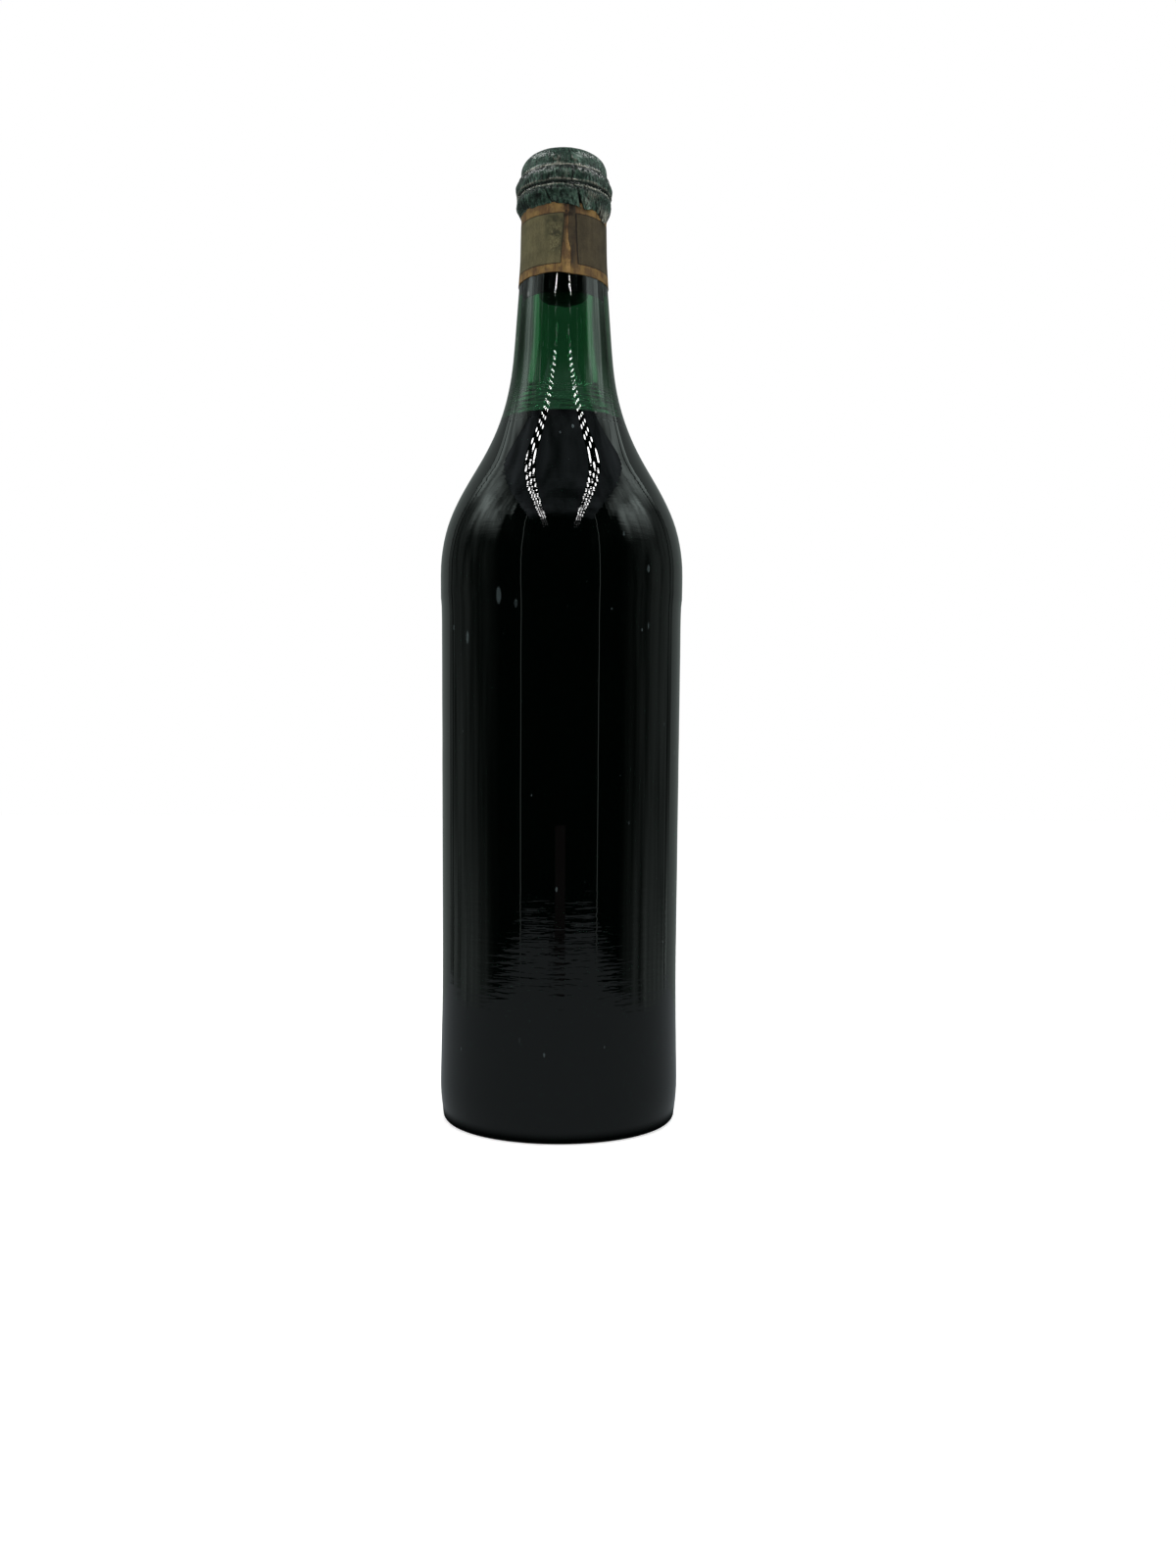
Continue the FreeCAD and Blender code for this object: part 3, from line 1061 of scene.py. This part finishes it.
@dataclass
class Drink:
    """The vermouth, which reaches just into the inner wall and creeps up it at its surface."""

    form: GlassForm
    glass: GlassBottle
    steps: int = 160
    reach: float = 0.15
    step: float = 4.0
    creep_h: float = 0.5
    creep_w: float = 2.0
    below_mark: float = 2.2

    def build(self) -> Object:
        """Make the drink.

        Returns:
            The drink, standing in for its CAD solid.
        """
        walls = self.form.inside(self.reach, self.step)
        level_z = self.form.level_z - self.below_mark
        top_z = level_z + self.creep_h
        below = [p for p in walls if p[1] < top_z]
        top_r = float(radius_at(walls, top_z))
        creep = [
            (top_r - self.creep_w * s, level_z + self.creep_h * (1 - s) ** 3)
            for s in np.linspace(0, 1, 9)
        ]
        surface = [(creep[-1][0] * s, level_z) for s in np.linspace(1, 0, 5)[1:]]
        piece = lathe("vermouth_fill", below + creep + surface, self.steps)
        places = places_of(piece)
        radius = np.hypot(places[:, 0], places[:, 1])
        at_wall = (np.abs(radius - radius_at(walls, places[:, 2])) < 0.1) & (places[:, 2] > self.form.heel_z)
        push_out(places, self.glass.inner_wave(places) * at_wall)
        set_places(piece, places)
        finish_piece(piece, RedVermouth().material(), "drink", "vermouth")
        return piece


@dataclass
class FoilCapsule:
    """The foil over the mouth: crimped over both rings, dented, worn, and torn at the front.

    Heights are in millimetres and angles in degrees.  The skirt is angle and height of
    its edge; gape is height and half the slit's width in degrees.  A flap is where it
    starts, ends and hangs loose, its lift and its wear; a dent is angle, height, width
    and depth; a bare patch is angle, height, both half widths and wear.
    """

    form: GlassForm
    steps: int = 480
    row: float = 0.42
    cap_rings: int = 16
    thickness: float = 0.25
    offset: float = 0.42
    edge_z: float = 319.1
    bore_dip: float = 0.3
    crimps: int = 88
    crimp_mm: float = 0.3
    crumple_mm: float = 0.26
    ridge_mm: float = 0.24
    ridges: tuple[float, ...] = (332.5, 327.1, 325.3)
    groove_z: float = 326.2
    rim: Point = (9.5, 12.0)
    crimped_below: Point = (332.8, 331.6)
    tear_z: tuple[float, ...] = (316.0, 318.7, 321.8, 324.0, 325.2, 327.2, 331.7)
    tear_turn: tuple[float, ...] = (28.0, 26.6, 20.1, 16.3, 11.1, 10.2, 12.6)
    tear_column: float = 12.375
    cap_r: float = 14.0
    skirt: tuple[Point, ...] = (
        (-180, 319.0), (-64, 319.5), (-42, 319.2), (-16, 319.4), (2, 318.7), (14, 317.6), (24, 317.9),
        (30, 318.7), (46, 318.4), (56, 316.6), (64, 315.6), (72, 317.0), (84, 318.9), (180, 319.0),
    )
    gape: tuple[Point, ...] = ((318, 2.5), (319.5, 2.1), (322, 0.5), (323.5, -0.34), (332.5, -0.34))
    folds: tuple[float, ...] = (43.0, 49.5, 56.0)
    flaps: tuple[tuple[Point, Point, Point, float, float], ...] = (
        ((2, 8), (34, 24), (323, 320.5), 1.0, 0.3), ((40, 55), (92, 78), (323, 319.5), 0.8, 0.45),
    )
    dents: tuple[tuple[float, float, float, float], ...] = (
        (-7.2, 332.6, 1.1, 0.3), (-25.0, 331.3, 1.2, 0.22), (13.8, 335.7, 1.3, 0.3), (21.9, 331.2, 1.9, 0.25),
        (-10.0, 335.4, 1.2, 0.2), (17.5, 333.6, 1.0, 0.22),
    )
    bare_patches: tuple[tuple[float, float, float, float, float], ...] = (
        (0.0, 334.0, 14.0, 2.2, 0.42), (4.0, 329.0, 10.0, 2.4, 0.4), (34.0, 323.0, 17.0, 2.4, 0.5),
        (-50.0, 331.5, 20.0, 1.6, 0.35), (66.0, 318.5, 14.0, 3.0, 0.45),
    )

    def outline(self) -> list[Point]:
        """Points from the skirt's edge up over the lip to the axis."""
        chain = follow(self.form.top(), OUTWARD, UPWARD, self.offset, self.row)
        points = [p for p in chain if p[1] >= self.edge_z]
        top_r, top_z = points[-1]
        return points + [(top_r * s, top_z) for s in np.linspace(1, 0, self.cap_rings)[1:]]

    def open_tear(self, piece: Object) -> None:
        """Take out the column of faces that becomes the slit.

        Args:
            piece: The smooth cap.
        """
        with edit_mode(piece):
            bpy.ops.mesh.select_all(action="DESELECT")
        for face in piece.data.polygons:
            x, y, z = face.center / MM
            turn = math.degrees(math.atan2(x, -y))
            in_column = abs(turn - self.tear_column) < 180 / self.steps
            face.select = in_column and z < self.tear_z[-1] and math.hypot(x, y) > self.cap_r
        with edit_mode(piece):
            bpy.ops.mesh.delete(type="FACE")

    def shape(self, piece: Object) -> None:
        """Press crimps, dents, ridges, the ragged skirt and the tear into the smooth cap.

        Args:
            piece: The cap, which also gets the attributes that the finish reads.
        """
        places = places_of(piece)
        turn, z = front_angle(places), places[:, 2].copy()
        radius = np.hypot(places[:, 0], places[:, 1])
        side = step_between(radius, *self.rim)
        skirt = step_between(z, 323.5, self.edge_z)
        edge = np.interp(turn, *zip(*self.skirt))
        edge += 0.25 * field_noise(np.stack([turn, 0 * z, 0 * z], 1), (5, 5, 5), 2.2)
        new_z = z + (edge - self.edge_z) * step_between(z, 323.0, self.edge_z)

        around = np.stack([turn, 0 * z, z], 1)
        rub_and_highlight, bulge, shade = np.zeros((3, len(z)))
        # Each ridge is a raised crest, worn bare with a painted highlight along it, and a line of painted shade
        # just below it.
        for index, ridge_z in enumerate(self.ridges):
            wander = 0.3 * field_noise(np.stack([turn, 0 * z + index * 9, 0 * z], 1), (16, 16, 16), 4.4)
            height = hump(z, ridge_z + wander, 0.3)
            shade += 0.9 * hump(z, ridge_z + wander - 0.9, 0.35)
            keep = 0.75 + 0.5 * field_noise(np.stack([turn, 0 * z + index * 5, 0 * z], 1), (7, 7, 7), 8.4)
            bulge += self.ridge_mm * height * np.clip(keep, 0.3, 1)
            rub_and_highlight += height * np.clip(keep, 0.15, 1)
        for patch_turn, patch_z, half_turn, half_z, amount in self.bare_patches:
            rub_and_highlight += amount * hump(turn, patch_turn, half_turn) * hump(z, patch_z, half_z)
        bulge -= 0.2 * hump(z, self.groove_z, 0.35) + 0.12 * hump(z, 333.6, 0.5) + 0.14 * hump(z, 331.2, 0.8)

        phase = turn * self.crimps / 360 + 1.1 * field_noise(around, (18, 18, 7), 6.1)
        pleat = np.abs(np.sin(np.pi * phase)) ** 0.7
        strength = 0.45 + 0.55 * step_between(np.abs(turn), 18, 50)
        strength = strength * (0.5 + 1.0 * np.abs(field_noise(around, (11, 11, 5), 9.3)))
        banded = step_between(z, *self.crimped_below) * side
        bulge -= self.crimp_mm * (1 - pleat) * strength * banded
        rub_and_highlight += 0.3 * pleat * strength * banded
        # Painted shade in the crimp valleys.
        cavity_shade = 1.3 * (1 - pleat) * strength * banded

        crumple = field_noise(places, (3.2, 3.2, 2.6), 1.3) + 0.6 * field_noise(places, (1.4, 1.4, 1.2), 7.7)
        loose = 0.45 + 0.4 * banded + 0.7 * skirt
        bulge += self.crumple_mm * crumple * loose * side
        # Painted shade in the crumple dips, in the groove and under the upper band.
        cavity_shade += np.clip(-0.9 * crumple * loose, 0, 0.8)
        cavity_shade += 0.6 * hump(z, self.groove_z, 0.4) + 0.5 * hump(z, 331.4, 0.7)
        lift = np.abs(field_noise(places, (1.9, 1.9, 2.4), 2.9))
        flaps = []
        for start, end, loose_z, lift_mm, worn in self.flaps:
            flap = step_between(turn, *start) * step_between(turn, *end) * step_between(z, *loose_z)
            bulge += flap * (0.25 + lift_mm * lift)
            rub_and_highlight += worn * flap
            flaps.append(flap)
        # The painted shade is kept mostly off the lifted flap.
        cavity_shade = (cavity_shade + shade) * (1 - 0.8 * flaps[0])
        # Dent rims are lighter: wear and a painted highlight.
        for dent_turn, dent_z, width, depth in self.dents:
            away = np.hypot((turn - dent_turn) * 0.28, z - dent_z)
            ring = hump(away, width * 0.8, width * 0.4)
            bulge += depth * ring * side
            rub_and_highlight += 0.35 * ring * side

        # A real crack on the left; painted shade in the groove, along the fold lines and along the edges of the
        # slit.
        crack_and_shade = hump(turn, np.interp(z, (319, 325), (-18.0, -23.6)), 0.7) * step_between(z, 325, 324)
        groove_shade = (0.3 + 0.5 * step_between(np.abs(turn), 35, 60)) * hump(z, self.groove_z, 0.22) * side
        crack_and_shade = np.maximum(crack_and_shade, groove_shade)
        for fold_turn in self.folds:
            fold_shade = hump(turn, fold_turn + 1.6 * (z - 318), 0.9) * step_between(z, 322.5, 321.5)
            crack_and_shade = np.maximum(crack_and_shade, 0.75 * fold_shade)
        slit = np.interp(z, self.tear_z, self.tear_turn)
        inside_tear = z < self.tear_z[-1] + 1
        from_slit = turn - self.tear_column
        crack_and_shade = np.maximum(crack_and_shade, np.exp(-(from_slit / 1.5) ** 2) * inside_tear * side)
        moved = turn + (slit - self.tear_column) * np.exp(-(from_slit / 28) ** 2) * side
        gape = np.interp(z, *zip(*self.gape))
        moved += np.sign(from_slit) * gape * np.exp(-(from_slit / 2.6) ** 2) * inside_tear * side
        lip = np.exp(-(from_slit / 2.2) ** 2) * inside_tear * side
        bulge += 0.08 * lip * (from_slit < 0) - 0.05 * lip * (from_slit > 0)
        rub_and_highlight += 0.2 * lip * (from_slit < -1.5)
        bulge -= 0.25 * crack_and_shade * side

        new_radius = radius + bulge
        new_z = new_z - self.bore_dip * step_between(radius, 9.4, 8.2)
        new_z -= 0.1 * np.abs(field_noise(places, (4, 4, 4), 3.3)) * step_between(z, 340.0, 340.7)
        set_places(piece, np.where((radius > 0.01)[:, None], turned(moved, new_radius, new_z), places))
        for name, values, most in (("rub_and_highlight", rub_and_highlight, 1), ("crack_and_shade", crack_and_shade * 1.2, 1), ("cavity_shade", cavity_shade, 0.9)):
            set_attribute(piece, name, np.clip(values, 0, most))
        # Where the lifted flap gets its painted highlight.
        set_attribute(piece, "flap_highlight", flaps[0])

    def build(self) -> Object:
        """Make the capsule.

        Returns:
            The foil, standing in for its CAD solid.
        """
        piece = lathe("crimped_capsule", self.outline(), self.steps)
        self.open_tear(piece)
        self.shape(piece)
        apply_modifier(piece, "SOLIDIFY", thickness=self.thickness * MM, offset=-1.0)
        smooth(piece, 50)
        finish_piece(piece, PaintedFoil().material(), "foil", "foil_capsule")
        return piece


@dataclass
class NeckLabel:
    """The paper round the neck, whose torn left end laps over the right one at the front."""

    form: GlassForm
    steps: int = 480
    row: float = 0.5
    paper: float = 0.12
    gap: float = 0.03
    bottom_z: float = 295.3
    top_z: float = 320.1
    lap_from: float = -12.0
    seam_column: float = 7.5
    torn_z: tuple[float, ...] = (294.0, 297.7, 300.1, 303.1, 306.1, 309.9, 315.7, 320.0)
    torn_turn: tuple[float, ...] = (9.5, 8.9, 9.7, 9.6, 7.1, 5.8, 7.0, 7.3)
    edge_turn: tuple[float, ...] = (-180, -79, -34, -10, 11.5, 35, 69, 120, 180)
    edge_z: tuple[float, ...] = (295.2, 294.9, 294.9, 295.1, 294.5, 294.5, 294.3, 295.0, 295.2)

    def build(self) -> Object:
        """Make the label.

        Returns:
            The paper, standing in for its CAD solid.
        """
        chain = follow(self.form.top(), OUTWARD, UPWARD, self.gap + self.paper, self.row)
        points = [p for p in chain if self.bottom_z <= p[1] <= self.top_z]
        piece = lathe("neck_paper", points, self.steps)
        places = places_of(piece)
        turn, z = front_angle(places), places[:, 2].copy()
        radius = np.hypot(places[:, 0], places[:, 1])
        fray = 0.5 * field_noise(places, (60, 60, 1.1), 3.9) + 0.3 * field_noise(places, (60, 60, 0.5), 1.1)
        torn = np.interp(z, self.torn_z, self.torn_turn) + fray
        from_seam = turn - self.seam_column
        over = (from_seam < 0.1) & (turn > self.lap_from)
        rise = self.paper * step_between(turn, self.lap_from, self.lap_from + 5) * over
        moved = turn + (torn - self.seam_column) * np.exp(-(from_seam / 14) ** 2)
        moved -= 0.66 * (from_seam > 0.1) * np.exp(-((from_seam - 0.75) / 3) ** 2)
        cockle = 0.05 * (1 + field_noise(places, (7, 7, 10), 2.5)) * step_between(z, 318.5, 316.5)
        curl = 0.12 * np.exp(-(from_seam / 2.0) ** 2) * over * step_between(z, 318.5, 316.5)
        new_radius = radius + cockle + curl + rise * step_between(z, 319, 317.5)
        edge = np.interp(turn, self.edge_turn, self.edge_z) + 0.12 * field_noise(places, (2.5, 2.5, 50), 6.6)
        new_z = z + (edge - self.bottom_z) * step_between(z, 299, self.bottom_z)
        set_places(piece, turned(moved, new_radius, new_z))
        set_attribute(piece, "lap", from_seam)
        apply_modifier(piece, "SOLIDIFY", thickness=(self.paper - 0.02) * MM, offset=-1.0)
        smooth(piece, 40)
        finish_piece(piece, AgedLabelPaper().material(), "label_paper", "neck_label")
        return piece


@dataclass
class Cork:
    """The cork, driven in flush with the mouth; its wet lower end hangs a little below the CAD's."""

    form: GlassForm
    steps: int = 96
    squeeze: float = 0.35
    length: float = 50.0
    drop: float = 0.5
    round_mm: float = 0.8

    def build(self) -> Object:
        """Make the cork.

        Returns:
            The cork, standing in for its CAD solid.
        """
        radius = self.form.bore_r + self.squeeze
        top = self.form.mouth_z - self.drop
        bottom = top - self.length
        edge = [
            (radius - self.round_mm * (1 - math.sin(a)), bottom + self.round_mm * (1 - math.cos(a)))
            for a in np.linspace(0, UPWARD, 6)
        ]
        walls = [(radius, z) for z in np.linspace(bottom + 4, top, 12)]
        faces = [(radius * 0.5, bottom)], [(radius * 0.5, top)]
        piece = lathe("driven_cork", [(0, bottom)] + faces[0] + edge + walls + faces[1] + [(0, top)], self.steps)
        finish_piece(piece, NaturalCork().material(), "cork", "cork")
        return piece


# ---------------------------------------------------------------- studio

class Sight(Enum):
    """Which rays see a studio surface."""

    ALL = "all"
    MIRRORED_AND_THROUGH = "mirrored and through glass"
    MIRRORED = "mirrored"
    LAMP = "lamp"


@dataclass
class Studio:
    """A light tent round the bottle, its floor and background, its lamps and the camera."""

    half_width: float = 315.0
    front: float = -590.0
    dark_from: float = -225.0
    lower_from: Point = (-205.0, -140.0)
    upper_from: Point = (-262.0, -252.0)
    dim_from: float = -30.0
    back: float = 229.0
    back_inset: float = 6.0
    ceiling: float = 600.0
    lamp_columns: float = 3.0
    lamp_pitch: float = 36.0
    lamp_width: float = 64.0
    lamp_runs: tuple[Place, ...] = ((-680, -566, 0.05), (-566, 150, 1.0))
    lamp_middle: float = 178.5
    lamp_glow: float = 38.0
    dot_edge: Point = (0.26, 0.16)
    room_glow: float = 0.22
    lens_mm: float = 30.94
    sensor_mm: float = 36.0
    camera_at: Place = (9.8, -481.3, 118.4)
    camera_roll: float = -0.34
    white: str = "#FFFFFF"
    table: str = "#EDEDED"
    cloth: str = "#EFFFFA"
    floor_cloth: str = "#EFFAFF"
    sky_cloth: str = "#E8F6FF"
    stand: str = "#F4D2DA"

    def camera(self) -> None:
        """Set the camera level, a little to the right of the bottle's front."""
        deselect_all()
        bpy.ops.object.camera_add(
            location=Vector(self.camera_at) * MM, rotation=(UPWARD, math.radians(self.camera_roll), 0)
        )
        camera = bpy.context.active_object
        camera.name = "camera"
        camera.data.sensor_fit = "VERTICAL"
        camera.data.sensor_height = self.sensor_mm
        camera.data.lens = self.lens_mm
        camera.data.clip_start = 0.01
        bpy.context.scene.camera = camera

    def seen_directly(self, nodes: Nodes) -> Node:
        """Mask of the rays that see the plain white background.

        Args:
            nodes: The nodes that get it.

        Returns:
            The node that is 1 for camera, mirror and see-through rays.
        """
        path = nodes.add("LightPath").outputs
        mirror = nodes.add("Math", path["Is Camera Ray"], path["Is Glossy Ray"], operation="MAXIMUM")
        return nodes.add("Math", mirror, path["Is Transmission Ray"], operation="MAXIMUM")

    def world(self) -> None:
        """Light the object evenly, with a white background."""
        world = bpy.data.worlds.new("studio")
        bpy.context.scene.world = world
        world.use_nodes = True
        nodes = Nodes(world.node_tree)
        strength = nodes.add("MapRange", self.seen_directly(nodes), To_Min=0.6, To_Max=1.0)
        nodes.add("OutputWorld", Surface=nodes.add("Background", Color=self.white, Strength=strength))

    def panel(self, name: str, corner: Place, along: Place, up: Place, material: Material, sight: Sight) -> Object:
        """Add a flat studio surface.

        Args:
            name: Name of the object.
            corner: Its first corner, in millimetres.
            along: Its first edge.
            up: Its second edge.
            material: Its material.
            sight: Which rays see it.

        Returns:
            The panel, marked as stage.
        """
        deselect_all()
        bpy.ops.mesh.primitive_plane_add(size=1)
        piece = bpy.context.active_object
        piece.name = name
        shares = places_of(piece)[:, :2] * MM + 0.5
        set_places(piece, np.array(corner) + shares[:, :1] * np.array(along) + shares[:, 1:] * np.array(up))
        piece.data.materials.append(material)
        piece.visible_camera = sight is Sight.ALL
        piece.visible_diffuse = sight in (Sight.ALL, Sight.LAMP)
        piece.visible_transmission = sight is not Sight.MIRRORED
        piece.visible_shadow = sight is Sight.ALL
        piece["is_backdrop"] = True
        return piece

    def glowing(
        self, name: str, tint: str, glow: Union[float, Callable[[Nodes], Any]], lit: bool = False
    ) -> Material:
        """Make a cloth or lamp that glows.

        Args:
            name: Name of the material.
            tint: Its colour.
            glow: Its brightness, where 1 is white, or a function that adds nodes for it.
            lit: Whether it lights the pieces, as well as showing in them.

        Returns:
            The material.
        """
        material, nodes = empty_material(name)
        shader = nodes.add("Emission", Color=tint, Strength=glow(nodes) if callable(glow) else glow)
        nodes.add("OutputMaterial", Surface=shader)
        if not lit:
            material.cycles.emission_sampling = "NONE"
        return material

    def room(self, nodes: Nodes) -> Node:
        """The dim room round the tent: black in mirrors, grey through glass."""
        return nodes.times(nodes.add("LightPath").outputs["Is Transmission Ray"], self.room_glow)

    def folds(self, nodes: Nodes, size: float, stretch: Place, low: float, high: float) -> Node:
        """Uneven brightness of hanging cloth.

        Args:
            nodes: The nodes that get it.
            size: Size of the folds, in millimetres.
            stretch: How much finer they are along each axis.
            low: Brightness in the folds.
            high: Brightness between them.

        Returns:
            The node that holds the brightness.
        """
        place = nodes.add("Mapping", Vector=nodes.place, Scale=stretch)
        cloth = nodes.add("TexNoise", Vector=place, Scale=1 / (size * MM), Detail=3.0)
        return nodes.add("MapRange", cloth, 0.35, 0.65, low, high)

    def side(self, nodes: Nodes) -> Node:
        """Side cloth: dim low down and to the front, brighter above, with a slit of light.

        Args:
            nodes: The nodes that get it.

        Returns:
            The node that holds its brightness.
        """
        add, rise, times = nodes.add, nodes.rise, nodes.times
        ends = rise("Y", 90, 30)
        lower = times(
            rise("Z", 300, 440, 0, 1.15), rise("Z", 450, 510, 1, 0), rise("Y", *self.lower_from, 0.01, 1), ends
        )
        upper = times(
            rise("Z", 450, 510, 0, 0.54), rise("Z", 540, 600, 1, 0.4), rise("Y", *self.upper_from, 0.01, 1), ends
        )
        high = times(rise("Z", 400, 520, 0, 0.6), rise("Y", 30, 90))
        low = times(rise("Z", 0, 120, 0.24, 0.11), rise("Y", self.dark_from, self.dim_from, 0.01, 1))
        cloth = lower
        for part in (upper, high, low):
            cloth = add("Math", cloth, part, operation="ADD")
        seam = add("Math", rise("Y", 178, 182), rise("Y", 168, 164, 0.15, 1), operation="MAXIMUM")
        cloth = times(cloth, self.folds(nodes, 90, (1, 1.8, 0.5), 0.35, 1.5), seam)
        slit = times(rise("Y", -450, -447), rise("Y", -440, -443, 0, 0.9))
        mirrored = add("Math", cloth, slit, operation="ADD")
        behind = times(rise("Z", 200, 380, 0.4, 0.9), rise("Y", -260, 60, 0.1, 1))
        through = add("LightPath").outputs["Is Transmission Ray"]
        return add("Mix", Factor=through, A=mirrored, B=behind, data_type="FLOAT")

    def above(self, nodes: Nodes) -> Node:
        """Ceiling cloth between the lamp strips, mottled, ending short of the front.

        Args:
            nodes: The nodes that get it.

        Returns:
            The node that holds its brightness.
        """
        left, right = nodes.rise("X", -205, -320, 0.02, 0.12), nodes.rise("X", 205, 320, 0.12, 0.16)
        sides = nodes.add("Math", left, right, operation="ADD")
        through = nodes.add("LightPath").outputs["Is Transmission Ray"]
        through = nodes.add("Math", through, -0.4, 1.0, operation="MULTIPLY_ADD")
        return nodes.times(
            sides, nodes.rise("Y", -560, -430), self.folds(nodes, 120, (1, 1, 1), 0.4, 1.6), through
        )

    def below(self, nodes: Nodes) -> Node:
        """Floor cloth, with a painted contact shadow where the bottle stands on it."""
        away = nodes.add("VectorMath", nodes.place, operation="LENGTH").outputs["Value"]
        return nodes.add("MapRange", away, 42 * MM, 50 * MM, 0.01, 0.24, interpolation_type="SMOOTHSTEP")

    def lamp_dots(self, share: float, nodes: Nodes) -> Node:
        """Rows of small round lamps on a dark strip.

        Args:
            share: How bright the lamps are, as a share of lamp_glow.
            nodes: The nodes that get them.

        Returns:
            The node that holds their brightness.
        """
        add = nodes.add
        across = add("SeparateXYZ", add("TexCoord").outputs["UV"]).outputs["X"]
        along = add("SeparateXYZ", nodes.place).outputs["Y"]
        along = add("Math", along, self.lamp_pitch * MM, operation="DIVIDE")
        cells = add("CombineXYZ", nodes.times(across, self.lamp_columns), along)
        cells = add("VectorMath", cells, operation="FRACTION")
        cells = add("VectorMath", cells, (0.5, 0.5, 0), operation="SUBTRACT")
        away = add("VectorMath", cells, operation="LENGTH").outputs["Value"]
        return add("MapRange", away, *self.dot_edge, To_Max=share * self.lamp_glow)

    def tent(self) -> None:
        """Hang the cloths and lamp strips that only reflections see."""
        left, low, high = -self.half_width, -0.2, self.ceiling
        across, deep, tall = (2 * self.half_width, 0, 0), (0, self.back - self.front, 0), (0, 0, high)
        sight, side = Sight.MIRRORED_AND_THROUGH, self.glowing("tent cloth, side", self.cloth, self.side)
        for name, x in (("tent_left", left), ("tent_right", -left)):
            self.panel(name, (x, self.front, low), deep, tall, side, sight)
        back = self.glowing("tent cloth, back", self.cloth, 0.22)
        inset = self.back_inset
        self.panel("tent_back", (left + inset, self.back, low), (across[0] - 2 * inset, 0, 0), tall, back, sight)
        floor = self.glowing("tent cloth, floor", self.floor_cloth, self.below)
        self.panel("tent_floor", (left, self.front, low), across, deep, floor, sight)
        ceiling = self.glowing("tent cloth, ceiling", self.sky_cloth, self.above)
        self.panel("tent_ceiling", (left, self.front, high + 2), across, deep, ceiling, sight)
        stand = self.glowing("stand in the dark", self.stand, 0.055)
        self.panel("stand", (-30, -512, 0), (82, 0, 0), (0, 0, 84), stand, Sight.MIRRORED)
        foot = self.glowing("foot in the dark", self.stand, 0.02)
        self.panel("stand_foot", (-75, -512, 0.5), (127, 0, 0), (0, 60, 0), foot, Sight.MIRRORED)
        self.room_walls(3 * self.ceiling)
        width = self.lamp_width
        for run, (start, end, share) in enumerate(self.lamp_runs):
            dots = self.glowing(f"lamp strip {share}", self.white, partial(self.lamp_dots, share), lit=True)
            for side_name, x in (("left", -self.lamp_middle), ("right", self.lamp_middle)):
                corner, length = (x - width / 2, start, high), (0, end - start, 0)
                self.panel(f"lamps_{side_name}_{run}", corner, (width, 0, 0), length, dots, Sight.LAMP)

    def room_walls(self, far: float) -> None:
        """Close the dim room round the tent.

        Args:
            far: How far its walls and ceiling are, in millimetres.
        """
        room = self.glowing("dim room", self.white, self.room)
        across, deep, tall = (2 * far, 0, 0), (0, 2 * far, 0), (0, 0, 2 * far)
        for name, corner, along, up in (
            ("room_front", (-far, -far, -far), across, tall), ("room_behind", (-far, far, -far), across, tall),
            ("room_left", (-far, -far, -far), deep, tall), ("room_right", (far, -far, -far), deep, tall),
            ("room_above", (-far, -far, far), across, deep), ("room_below", (-far, -far, -1), across, deep),
        ):
            self.panel(name, corner, along, up, room, Sight.MIRRORED_AND_THROUGH)

    def floor(self) -> None:
        """Lay a white floor that still takes the bottle's shadow."""
        material, nodes = empty_material("white table")
        shader = nodes.add("BsdfDiffuse", Color=self.table)
        glow = nodes.add("Emission", Color=self.white, Strength=nodes.times(self.seen_directly(nodes), 0.6))
        nodes.add("OutputMaterial", Surface=nodes.add("AddShader", shader, glow))
        material.cycles.emission_sampling = "NONE"
        table = self.panel("table", (-4000, -4000, 0), (8000, 0, 0), (0, 8000, 0), material, Sight.ALL)
        table.visible_glossy = False

    def lamps(self) -> None:
        """Hang soft lamps that give relief to foil and paper and show in no reflection."""
        for name, place in (("lamp_left", (-420, -160, 560)), ("lamp_right", (420, -160, 560))):
            deselect_all()
            spot = Vector(place) * MM
            aim = (Vector((0, 0, 0.25)) - spot).to_track_quat("-Z", "Y").to_euler()
            bpy.ops.object.light_add(type="AREA", location=spot, rotation=aim)
            lamp = bpy.context.active_object
            lamp.name = name
            lamp.data.size = 0.35
            lamp.data.energy = 0.5
            lamp.visible_glossy = False
            lamp.visible_transmission = False

    def build(self) -> None:
        """Set up the camera, the background, the tent and the lamps."""
        self.camera()
        self.world()
        self.floor()
        self.tent()
        self.lamps()
        bpy.context.scene.view_settings.view_transform = "Standard"


# ---------------------------------------------------------------- all of it

def write_sizes(cad_box: tuple) -> None:
    boxes = {"cad": cad_box, "visual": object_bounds()}
    plain = {name: [list(map(float, corner)) for corner in box] for name, box in boxes.items()}


def main() -> None:
    """Build the bottle piece by piece, then the studio round it."""
    logging.basicConfig(level=logging.INFO, format="%(name)s: %(message)s")
    cad_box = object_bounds()
    form = GlassForm()
    glass = GlassBottle(form)
    glass.build()
    Drink(form, glass).build()
    Cork(form).build()
    NeckLabel(form).build()
    FoilCapsule(form).build()
    Studio().build()
    write_sizes(cad_box)


if __name__ == "__main__":
    main()
